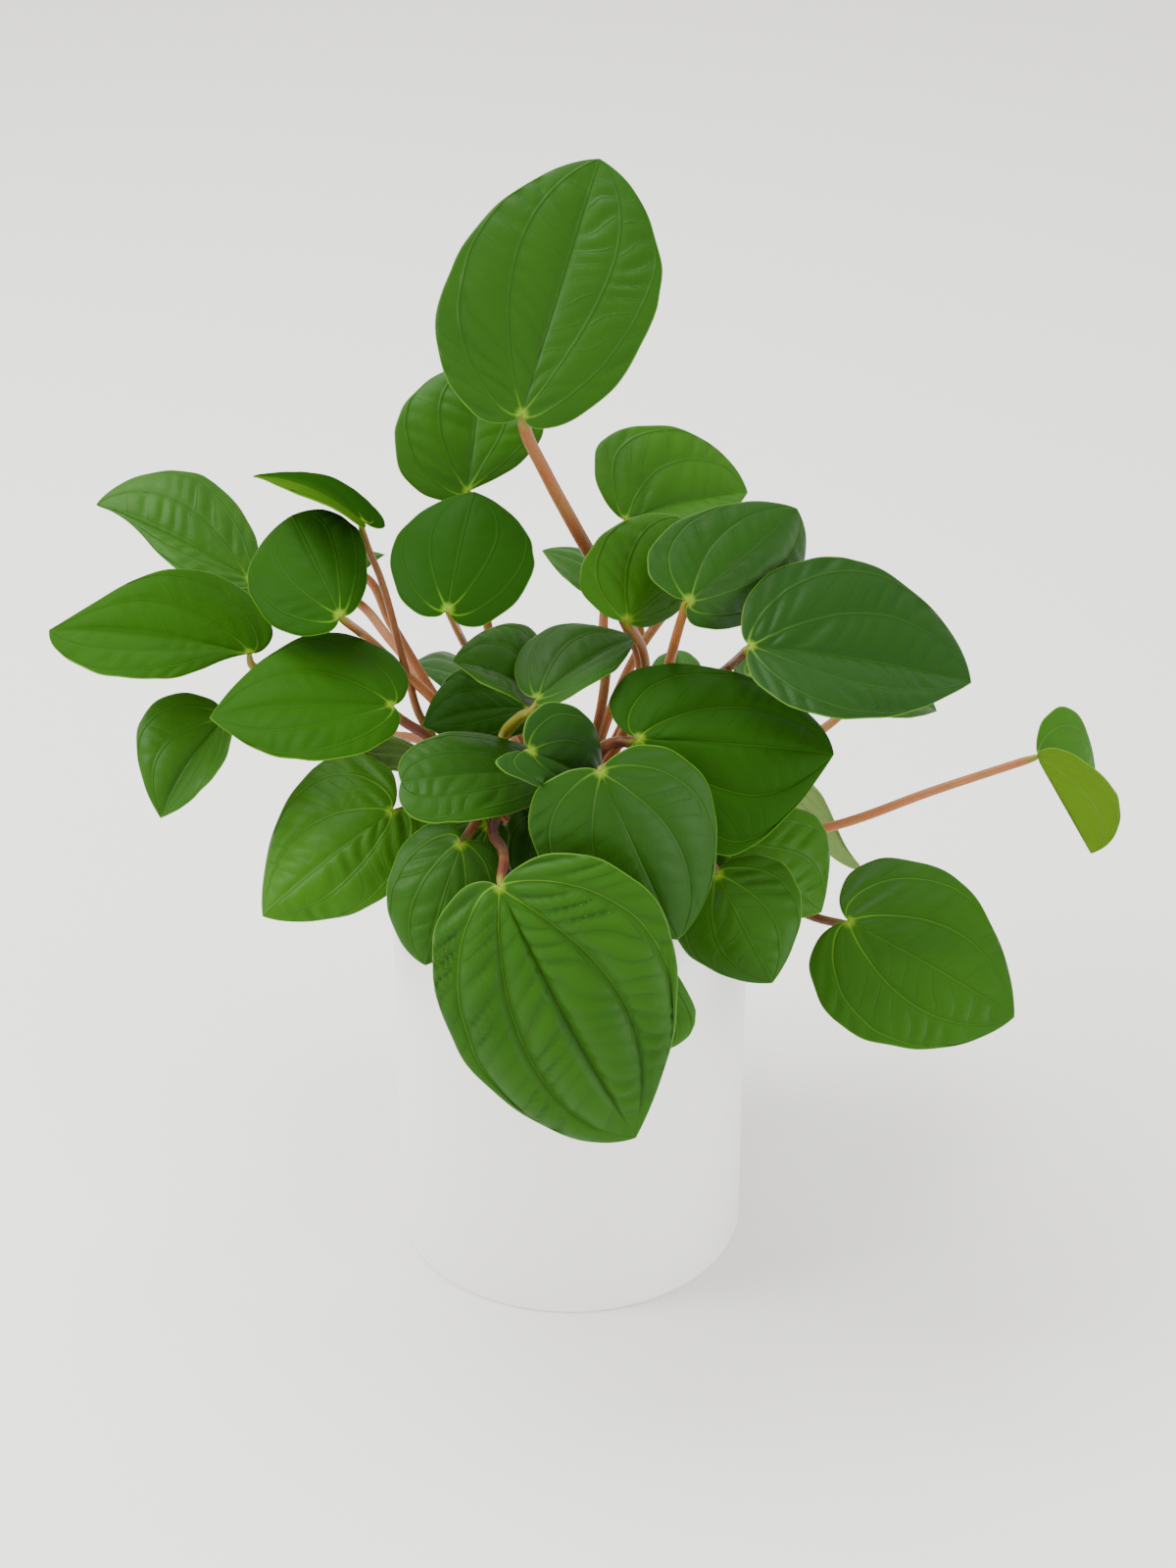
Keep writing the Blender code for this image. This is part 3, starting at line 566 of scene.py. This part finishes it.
def blade_grid(blade):
    """Where the rows and columns of a blade are. The columns follow the main veins, which run out
    to the edge towards the tip."""
    rows = SMALL_ROWS if blade.small else BLADE_ROWS
    columns = SMALL_COLUMNS if blade.small else BLADE_COLUMNS
    half = columns // 2
    steps = np.linspace(0, 1, rows + 1)
    share = np.repeat(steps[:, None], columns + 1, axis=1)
    posts = [round(vein * half) for vein in VEINS]
    side = np.zeros(share.shape)
    for row, step in enumerate(steps):
        turned = [turn * smooth(step, start, end) for turn, start, end in VEIN_TURNS]
        inner = np.interp(np.arange(half + 1), posts, (0, *np.add(VEINS[1:3], turned), 1))
        side[row] = np.concatenate((-inner[:0:-1], inner))
    return share, side, posts


def ragged(share, side, order):
    """How far the margin goes in and out, which differs from blade to blade."""
    long = np.sin(EDGE_LONG * share + 2 * order + side)
    both = long + EDGE_SECOND * np.sin(EDGE_SHORT * share + 3 * order - side)
    return both * smooth(share, *EDGE_ENDS) * smooth(1 - share, *EDGE_ENDS)


def wander(forward, side, order):
    """How far the grooves stray from their even beat."""
    high, long, shift = WANDER_LONG
    slow = high * np.sin(forward / long + shift * order)
    high, long, shift = WANDER_SHORT
    return slow + high * np.sin(forward / long + side * shift)


def relief_of(forward, from_rib, side, posts, order, puffed, ribbed):
    """How high the puffs stand, less their grooves, with what the paint has to know of them."""
    half = side.shape[1] // 2
    relief, phase, widths, swell = [np.zeros(side.shape) for _ in range(4)]
    nearest = np.full(side.shape, FAR_AWAY)
    stray = wander(forward, side, order)
    for k, (low, high) in enumerate(zip(posts, posts[1:])):
        for sign in (-1, 1):
            band = half + sign * np.arange(low, high + 1)
            ahead = forward[:, band]
            offset = from_rib[:, band] - from_rib[:, band[:1]]
            width = offset[:, -1:]
            part = np.clip(offset / np.maximum(width, NO_WIDTH), 0, 1)
            at_margin = k == len(PUFFS) - 1
            gap = offset if at_margin else np.minimum(offset, width - offset)
            nearest[:, band] = np.minimum(nearest[:, band], np.abs(gap))
            puff = np.sin(math.pi * part**PUFF_LEAN)**PUFF_ROUND
            beat = (ahead - GROOVE_SLANT * offset) / GROOVE_PITCH
            beat = beat + stray[:, band] + SHIFT_BAND * k + SHIFT_SIDE * sign
            groove = (0.5 + 0.5 * np.cos(2 * math.pi * beat))**GROOVE_SHARP
            swing = ahead / DEPTH_LONG - offset / DEPTH_WIDE + DEPTH_BAND * k + sign + order
            deep = GROOVE_DEEP * GROOVE_BANDS[k] * (DEPTH_MIDDLE + DEPTH_SWING * np.sin(swing))
            deep = deep * groove * smooth(width, *GROOVE_ROOM) * ribbed
            deep = deep * smooth(part, *GROOVE_INSIDE) * smooth(1 - part, *GROOVE_OUTSIDE)
            relief[:, band] = PUFFS[k] * puff * width * PUFF_HIGH * puffed - deep
            phase[:, band] = beat
            widths[:, band] = width
            swell[:, band] = puff
    facts = {"vein": nearest, "phase": phase, "band": widths, "swell": np.clip(swell, 0, 1)}
    return relief, facts


def two_faces(place, up, to_edge):
    """The top and the underside of a blade, half its thickness off its middle surface. The blade
    gets thinner at its margin."""
    normal = np.cross(np.gradient(place, axis=0), np.gradient(place, axis=1))
    size = np.linalg.norm(normal, axis=-1, keepdims=True)
    normal = np.where(size > NO_AREA, normal / np.maximum(size, NO_AREA), up)
    normal = np.where((normal @ up)[..., None] < 0, -normal, normal)
    normal[0] = up
    normal[-1] = normal[-2].mean(axis=0)
    thick = BLADE / 2 * (EDGE_THICK + (1 - EDGE_THICK) * smooth(to_edge, 0, EDGE_ROUND))
    return place + normal * thick[..., None], place - normal * thick[..., None]


def build_blade(blade, order, finish):
    look = LOOKS.get(blade.name.removeprefix("blade_"), PLAIN)
    tone, puffed, ribbed, veined, fresh_and_glow, matt_half = look
    share, side, posts = blade_grid(blade)
    half = side.shape[1] // 2
    place = blade.middle(share, side * (1 + EDGE_RAGGED * ragged(share, side, order) * side**4))

    across = lengths(place, 1) / MM
    from_rib = np.abs(across - across[:, half:half + 1])
    to_edge = np.where(side < 0, across, across[:, -1:] - across)
    reach = np.linalg.norm(place - blade.joint, axis=-1) / MM
    forward = (place - blade.joint) @ unit(blade.along) / MM

    relief, facts = relief_of(forward, from_rib, side, posts, order, puffed, ribbed)
    relief = relief * (smooth(share, *PUFF_START) * smooth(1 - share, *PUFF_FINISH))
    relief = relief + KNOB_HIGH * np.exp(-(reach / KNOB_WIDE)**2)
    place = place + blade.up * relief[..., None] * MM
    top, under = two_faces(place, blade.up, to_edge)

    # Painted glow of light shining through one half of the blade
    if matt_half:
        fresh_and_glow = fresh_and_glow * smooth(side * matt_half, *FRESH_AND_GLOW_HALF)
    flat = {"tone": tone, "ribbed": ribbed, "veined": veined, "fresh_and_glow": fresh_and_glow,
            "matt": abs(matt_half)}
    facts |= {"share": share, "edge": to_edge, "reach": reach}
    facts |= {key: np.broadcast_to(value, side.shape) for key, value in flat.items()}
    # The faces of the top have to look up
    facing = np.cross(top[3, half + 1] - top[3, half], top[4, half] - top[3, half])
    if facing @ blade.up < 0:
        top, under = top[:, ::-1], under[:, ::-1]
        facts = {key: values[:, ::-1] for key, values in facts.items()}
    piece = shell("visual_" + blade.name, top, under, facts, finish)
    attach(piece, "root")
    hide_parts(blade.name)


class Paint:
    """A Principled material that is put together in short lines."""

    def __init__(self, name):
        self.made = bpy.data.materials.new(name)
        self.made.use_nodes = True
        self.tree = self.made.node_tree
        self.shader = self.tree.nodes["Principled BSDF"]
        self.where = self.tree.nodes.new("ShaderNodeTexCoord").outputs["Object"]

    def feed(self, socket, value):
        if isinstance(value, bpy.types.NodeSocket):
            self.tree.links.new(value, socket)
        else:
            socket.default_value = value

    def set(self, name, value):
        self.feed(self.shader.inputs[name], value)

    def fact(self, name):
        node = self.tree.nodes.new("ShaderNodeAttribute")
        node.attribute_name = name
        return node.outputs["Fac"]

    def compute(self, how, *values):
        node = self.tree.nodes.new("ShaderNodeMath")
        node.operation = how
        for socket, value in zip(node.inputs, values):
            self.feed(socket, value)
        return node.outputs[0]

    def times(self, first, *others):
        product = first
        for other in others:
            product = self.compute("MULTIPLY", product, other)
        return product

    def times_plus(self, value, factor, base):
        """The value times the factor, plus the base."""
        return self.compute("MULTIPLY_ADD", value, factor, base)

    def step(self, value, low, high, first=0.0, last=1.0):
        """From the first number, where the value is low, to the last, where it is high."""
        node = self.tree.nodes.new("ShaderNodeMapRange")
        node.interpolation_type = "SMOOTHSTEP"
        for socket, item in zip(node.inputs, (value, low, high, first, last)):
            self.feed(socket, item)
        return node.outputs[0]

    def mix(self, share, a, b):
        """A colour between two. A mix node takes its colours at 6 and 7 and gives one at 2."""
        node = self.tree.nodes.new("ShaderNodeMix")
        node.data_type = "RGBA"
        colours = [(*x, 1) if isinstance(x, tuple) else x for x in (a, b)]
        for key, value in zip((0, 6, 7), (share, *colours)):
            self.feed(node.inputs[key], value)
        return node.outputs[2]

    def texture(self, kind, **numbers):
        node = self.tree.nodes.new(kind)
        self.tree.links.new(self.where, node.inputs["Vector"])
        for name, value in numbers.items():
            node.inputs[name].default_value = value
        return node.outputs

    def noise(self, scale, detail, rough=0.5):
        made = self.texture("ShaderNodeTexNoise", Scale=scale, Detail=detail, Roughness=rough)
        return made["Fac"]

    def cells(self, scale):
        return self.texture("ShaderNodeTexVoronoi", Scale=scale)["Distance"]

    def bump(self, height, deep=MM):
        node = self.tree.nodes.new("ShaderNodeBump")
        node.inputs["Strength"].default_value = 1.0
        node.inputs["Distance"].default_value = deep
        self.tree.links.new(height, node.inputs["Height"])
        self.tree.links.new(node.outputs["Normal"], self.shader.inputs["Normal"])


def leaf_grooves(p):
    """Where the small veins' grooves are: thin lines, and the broad folds around them. Both carry
    painted shade, and the thin lines also shape the bump.
    """
    vein, ribbed = p.fact("vein"), p.fact("ribbed")
    beat = p.compute("PINGPONG", p.times_plus(p.noise(90, 2), 0.3, p.fact("phase")), 0.5)
    thin = p.times(
        p.step(beat, 0.0, 0.10, 1.0, 0.0),
        p.step(vein, 0.3, 2.5),
        p.step(p.fact("edge"), 0.5, 4.0),
        p.step(p.fact("band"), 4.0, 9.0),
        p.step(p.noise(45, 2), 0.35, 0.65),
        p.step(ribbed, 0.0, 1.0),
    )
    # Painted shade over the broad folds, stronger on the more ribbed blades
    fold_shade = p.times(
        p.step(beat, 0.02, 0.34, 1.0, 0.0),
        p.step(vein, 0.3, 4.0),
        p.step(ribbed, 0.5, 2.7, 0.0, 0.17),
    )
    return thin, fold_shade


def leaf_veins(p):
    """Where the main veins are: thin lines that fade away from the joint."""
    reach = p.fact("reach")
    wide = p.step(reach, 0.0, 26.0, 0.62, 0.26)
    line = p.step(p.compute("DIVIDE", p.fact("vein"), wide), 0.35, 1.2, 1.0, 0.0)
    near = p.step(reach, 5.0, 30.0, 1.0, 0.65)
    tail = p.step(p.fact("share"), 0.5, 0.97, 1.0, 0.25)
    start = p.step(reach, 3.0, 14.0, 0.75, 0.0)
    clear = p.compute("MAXIMUM", start, p.fact("veined"))
    return p.times(p.times(line, p.times(near, tail)), p.times(clear, 0.8))


def leaf_top(p, cloud, pale_rim_and_highlight, thin, fold_shade):
    """The green of a leaf's top, with painted shade: the valleys between the puffs are darker, and
    so are the grooves of the small veins and the broad folds around them. The pale rim is partly a
    painted rim highlight, and the yellow partly a painted glow of light shining through the blade."""
    ribbed = p.fact("ribbed")
    green = p.mix(p.fact("tone"), LEAF_DARK, LEAF_LIGHT)
    # Yellow-green, partly the blade's own and partly a painted glow of light through the blade
    green = p.mix(p.fact("fresh_and_glow"), green, LEAF_FRESH_AND_GLOW)
    green = p.mix(p.step(cloud, 0.40, 0.72, 0.0, 0.30), green, LEAF_CLOUD)
    # Painted shade in the thin grooves of the small veins
    green = p.mix(p.times(thin, p.step(ribbed, 0.9, 2.7, 0.14, 0.24)), green, LEAF_VALLEY_SHADE)
    # Painted shade over the broad folds
    green = p.mix(fold_shade, green, LEAF_FOLD_SHADE)
    # Painted shade: the valleys next to the main veins are darker
    valley_shade = p.times(p.step(p.fact("swell"), 0.0, 0.6, 0.18, 0.0), p.step(ribbed, 0.0, 1.0))
    green = p.mix(valley_shade, green, LEAF_VALLEY_SHADE)
    green = p.mix(leaf_veins(p), green, LEAF_VEIN)
    green = p.mix(p.step(p.fact("reach"), 0.5, 3.6, 0.8, 0.0), green, LEAF_JOINT)
    green = p.mix(pale_rim_and_highlight, green, LEAF_PALE_RIM_AND_HIGHLIGHT)
    speck = p.times(p.step(p.cells(95), 0.03, 0.065, 0.55, 0.0),
                    p.step(p.noise(60, 1), 0.53, 0.58))
    return p.mix(speck, green, LEAF_SPECK)


def leaf_under(p, cloud, pale_rim_and_highlight):
    """The underside is paler and greyer, partly its own colour and partly painted light shining
    through the blade, and its veins are light. Its pale rim is partly a painted rim highlight.
    """
    pale = p.mix(p.fact("tone"), UNDER_DARK, UNDER_LIGHT)
    pale = p.mix(p.step(cloud, 0.35, 0.7, 0.0, 0.3), pale, UNDER_CLOUD)
    # Yellow-green underside, partly its own and partly a painted glow of light through the blade
    pale = p.mix(p.times(p.fact("fresh_and_glow"), -1.0), pale, LEAF_FRESH_AND_GLOW)
    pale = p.mix(p.step(p.fact("vein"), 0.2, 1.1, 0.4, 0.0), pale, UNDER_VEIN)
    return p.mix(pale_rim_and_highlight, pale, UNDER_PALE_RIM_AND_HIGHLIGHT)


def leaf_paint():
    p = Paint("leaf")
    under, vein = p.fact("under"), p.fact("vein")
    cloud = p.noise(28, 3)
    fine = p.noise(420, 3)
    # The pale margin, partly its own colour and partly a painted rim highlight
    pale_rim_and_highlight = p.step(p.fact("edge"), 0.1, 0.6, 0.65, 0.0)
    thin, fold_shade = leaf_grooves(p)
    top = leaf_top(p, cloud, pale_rim_and_highlight, thin, fold_shade)
    p.set("Base Color", p.mix(under, top, leaf_under(p, cloud, pale_rim_and_highlight)))
    p.set("Roughness", p.times_plus(under, 0.16, p.times_plus(fine, 0.12, 0.36)))
    matt = p.compute("MAXIMUM", under, p.fact("matt"))
    p.set("Specular IOR Level", p.step(matt, 0.0, 1.0, 0.10, 0.0))
    # What is too fine for the mesh: grooves, the veins' channels and ridges, the skin's grain
    rib = p.step(vein, 0.0, 0.9, 1.0, 0.0)
    high = p.times_plus(rib, p.times_plus(under, 0.55, -0.22), p.times(thin, -0.12))
    high = p.times_plus(fine, 0.06, high)
    p.bump(p.times_plus(p.noise(140, 2), 0.25, high))
    return p.made


def petiole_paint():
    p = Paint("petiole")
    brown = p.mix(p.fact("tone"), PETIOLE_DARK, PETIOLE_LIGHT)
    brown = p.mix(p.step(p.noise(70, 3), 0.42, 0.66, 0.0, 0.6), brown, PETIOLE_CLOUD)
    brown = p.mix(p.step(p.cells(900), 0.12, 0.32, 0.6, 0.0), brown, PETIOLE_SPECK)
    brown = p.mix(p.step(p.fact("reach"), 2.0, 9.0, 0.75, 0.0), brown, PETIOLE_GREEN)
    p.set("Base Color", brown)
    p.set("Specular IOR Level", 0.25)
    p.set("Roughness", p.times_plus(p.noise(300, 2), 0.2, 0.33))
    p.bump(p.times_plus(p.noise(900, 2), 0.10, p.times(p.noise(160, 2), 0.3)))
    return p.made


def pot_paint():
    p = Paint("glazed_white")
    p.set("Base Color", p.mix(p.noise(22, 3), GLAZE_DULL, GLAZE_CLEAR))
    p.set("Roughness", p.times_plus(p.noise(60, 3), 0.14, 0.30))
    p.bump(p.noise(55, 3), deep=0.00012)
    return p.made


def soil_paint():
    p = Paint("soil")
    grain = p.noise(260, 5, rough=0.7)
    p.set("Base Color", p.mix(p.step(grain, 0.3, 0.7), SOIL_DARK, SOIL_LIGHT))
    p.set("Roughness", p.times_plus(grain, 0.2, 0.78))
    p.bump(grain, deep=0.0012)
    return p.made


def floor_paint():
    p = Paint("floor")
    p.set("Base Color", p.mix(p.noise(3, 2), FLOOR_DULL, FLOOR_CLEAR))
    p.set("Roughness", 0.75)
    return p.made


def grid_piece(name, rings, finish):
    """A piece from rings of points, one under the other, that closes at its first and last."""
    count = rings.shape[1]
    points = np.concatenate((rings[:1, 0], rings[1:-1].reshape(-1, 3), rings[-1:, 0]))
    last = len(points) - 1
    faces = []
    for i in range(len(rings) - 1):
        row = 1 + (i - 1) * count
        for j in range(count):
            n = (j + 1) % count
            if i == 0:
                faces.append((0, 1 + j, 1 + n))
            elif i == len(rings) - 2:
                faces.append((row + n, row + j, last))
            else:
                faces.append((row + j, row + count + j, row + count + n, row + n))
    mesh = bpy.data.meshes.new(name)
    mesh.from_pydata(points.tolist(), [], faces)
    return smooth_piece(name, mesh, finish)


def lathe(profile, sides):
    turn = np.linspace(0, 2 * math.pi, sides, endpoint=False)
    radius, height = np.array(profile).T
    x = radius[:, None] * np.cos(turn)
    y = radius[:, None] * np.sin(turn)
    return np.stack((x, y, np.broadcast_to(height[:, None], x.shape)), -1)


def corner(middle, radius, start, end):
    angles = np.radians(np.linspace(start, end, ROUND_STEPS + 1))
    return [(middle[0] + radius * math.cos(a), middle[1] + radius * math.sin(a)) for a in angles]


def build_pot():
    inner = POT_RADIUS - POT_WALL
    profile = [(0, POT_FLOOR), (inner, POT_FLOOR)]
    profile += corner((inner + RIM_ROUND, POT_HEIGHT - RIM_ROUND), RIM_ROUND, 180, 90)
    profile += corner((POT_RADIUS - RIM_ROUND, POT_HEIGHT - RIM_ROUND), RIM_ROUND, 90, 0)
    straight = np.linspace(POT_HEIGHT - RIM_ROUND, FOOT_ROUND, POT_ROWS)[1:-1]
    profile += [(POT_RADIUS, height) for height in straight]
    profile += corner((POT_RADIUS - FOOT_ROUND, FOOT_ROUND), FOOT_ROUND, 0, -90)
    profile += [(0, 0)]
    pot = grid_piece("visual_pot", lathe(profile, POT_SIDES), pot_paint())
    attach(pot, "root")
    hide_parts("pot")


def build_soil(finish):
    """Crumbly soil with low lumps, mounded towards the middle."""
    rng = np.random.default_rng(SOIL_SEED)
    radius = POT_RADIUS - POT_WALL - GAP
    shares = np.linspace(0, 1, SOIL_RINGS)
    profile = [(radius * s, SOIL_TOP - SOIL_MOUND * s**3) for s in shares]
    rings = lathe(profile + [(radius, POT_FLOOR + GAP), (0, POT_FLOOR + GAP)], POT_SIDES)
    x, y = rings[..., 0], rings[..., 1]
    crumble = rng.normal(0, CRUMB_HIGH, rings.shape[:2])
    crumble += LUMP_HIGH * np.sin(x * LUMP_WAVES[0] + 1) * np.sin(y * LUMP_WAVES[1])
    crumble[0] = 0
    crumble[len(shares) - 1:] = 0
    rings[..., 2] += np.minimum(crumble, CRUMB_LIMIT)
    soil = grid_piece("visual_soil", rings, finish)
    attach(soil, "root")
    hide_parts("soil")


def tube_mesh(name, points, sides):
    """A closed tube through (place, radius) pairs on one smooth curve."""
    curve = bpy.data.curves.new(name, "CURVE")
    curve.dimensions = "3D"
    curve.bevel_depth = 1.0
    curve.bevel_resolution = sides // 2 - 2
    curve.resolution_u = TUBE_STEPS
    curve.use_fill_caps = True
    spline = curve.splines.new("BEZIER")
    spline.bezier_points.add(len(points) - 1)
    for knot, (place, radius) in zip(spline.bezier_points, points):
        knot.co = Vector(place)
        knot.radius = radius
        knot.handle_left_type = "AUTO"
        knot.handle_right_type = "AUTO"
    made = placed(name, curve)
    bpy.context.view_layer.update()
    solid = made.evaluated_get(bpy.context.evaluated_depsgraph_get())
    mesh = bpy.data.meshes.new_from_object(solid)
    bpy.data.objects.remove(made)
    mesh.name = name
    return mesh


def stalk(name, points, joint, tone, finish, sides=PETIOLE_SIDES, green=1.0):
    """One stalk of the stem, with how far each of its points is from the blade's joint. The
    green that it has next to the joint reaches further along a young one."""
    mesh = tube_mesh(name, points, sides)
    places = np.empty(len(mesh.vertices) * 3, np.float32)
    mesh.vertices.foreach_get("co", places)
    reach = np.linalg.norm(places.reshape(-1, 3) - joint, axis=1) / MM / green
    add_fact(mesh, "reach", reach)
    add_fact(mesh, "tone", np.full(len(reach), tone))
    piece = smooth_piece(name, mesh, finish)
    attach(piece, "root")
    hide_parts("stem_with_petioles")


def petiole_points(blade, order):
    trunk_top = np.array((*TRUNK_PLACE, SOIL_TOP + TRUNK_ABOVE_SOIL))
    end = np.array(BRANCH_ENDS[blade.branch])
    root = trunk_top + (end - trunk_top) * (ROOT_FIRST + ROOT_SPREAD * (order * ROOT_STEP % 1))
    seat = BLADE / 2 + GAP + PETIOLE_END * (SEAT_PLAY + SEAT_FALL * blade.fall())
    top = blade.joint - blade.up * seat
    if blade.route:
        middle = [seen(place) for place in blade.route]
    else:
        middle = [(root + top) / 2 + np.array((0, 0, PETIOLE_RISE))]
    back = unit(middle[-1] - top)
    if -back @ blade.up < blade.slope:
        back = back - unit(blade.along) * END_AWAY
        back = unit(back - blade.up * (back @ blade.up))
        back = back * math.sqrt(1 - blade.slope**2) - blade.up * blade.slope
    bend = top + back * END_LENGTH
    route = [root, *middle, bend, top]
    last = len(route) - 1
    radii = [PETIOLE_BASE + (PETIOLE_TOP - PETIOLE_BASE) * i / last for i in range(last)]
    radii = [radius * blade.stout for radius in radii]
    points = list(zip(route, [*radii, PETIOLE_END * SHOWN_END]))
    return [*points, (blade.joint + blade.up * KNOB_DEPTH, PETIOLE_END * SHOWN_LAST)]


def build_stem(blades, finish):
    x, y = TRUNK_PLACE
    far = np.array((0, 0, -1.0))
    top = np.array((x, y, SOIL_TOP + TRUNK_ABOVE_SOIL))
    ends = [((x, y, STEM_FOOT + GAP), TRUNK_RADIUS), (top, TRUNK_RADIUS * TRUNK_TAPER)]
    stalk("visual_trunk", ends, far, TRUNK_TONE, finish, TRUNK_SIDES)
    for name, place in BRANCH_ENDS.items():
        end = np.array(place)
        low = top - np.array((0, 0, BRANCH_START))
        turn = (low + end) / 2 - np.array((0, 0, BRANCH_SAG))
        knots = [(low, BRANCH_RADIUS), (turn, BRANCH_RADIUS), (end, BRANCH_RADIUS * BRANCH_TAPER)]
        stalk("visual_branch_" + name, knots, far, BRANCH_TONE, finish, BRANCH_SIDES)
    for order, blade in enumerate(blades):
        tone = TONE_LEAST + TONE_SPREAD * (order * TONE_STEP % 1)
        if blade.name in DARK_PETIOLES:
            tone = DARK_TONE
        green = YOUNG_GREEN if blade.name in YOUNG_PETIOLES else 1.0
        name = "visual_petiole_of_" + blade.name
        stalk(name, petiole_points(blade, order), blade.joint, tone, finish, green=green)


def build_lamp(name, width, power, place, target):
    lamp = bpy.data.lights.new(name, "AREA")
    lamp.shape = "DISK"
    lamp.size = width
    lamp.energy = power
    made = placed(name, lamp)
    made.location = place
    made.rotation_euler = (Vector(target) - Vector(place)).to_track_quat("-Z", "Y").to_euler()


def build_floor():
    far = FLOOR_REACH
    mesh = bpy.data.meshes.new("floor")
    corners = [(-far, -far, 0), (far, -far, 0), (far, far, 0), (-far, far, 0)]
    mesh.from_pydata(corners, [], [(0, 1, 2, 3)])
    mesh.materials.append(floor_paint())
    floor = placed("floor", mesh)


def build_camera():
    lens = bpy.data.cameras.new("camera")
    lens.lens = VIEW_LENS
    lens.sensor_width = VIEW_SENSOR
    camera = placed("camera", lens)
    camera.location = VIEW_POINT
    camera.rotation_euler = (math.pi / 2 - VIEW_PITCH, 0, 0)
    bpy.context.scene.camera = camera


def build_stage():
    build_floor()
    world = bpy.data.worlds.new("studio")
    bpy.context.scene.world = world
    world.use_nodes = True
    world.node_tree.nodes["Background"].inputs["Color"].default_value = WORLD_COLOUR
    world.node_tree.nodes["Background"].inputs["Strength"].default_value = WORLD_STRENGTH
    for name, facts in LAMPS.items():
        build_lamp(name, *facts)
    build_camera()


def main():
    build_stage()
    build_pot()
    build_soil(soil_paint())
    blades = [Blade(**row) for row in LEAVES]
    build_stem(blades, petiole_paint())
    finish = leaf_paint()
    for order, blade in enumerate(blades):
        build_blade(blade, order, finish)


main()
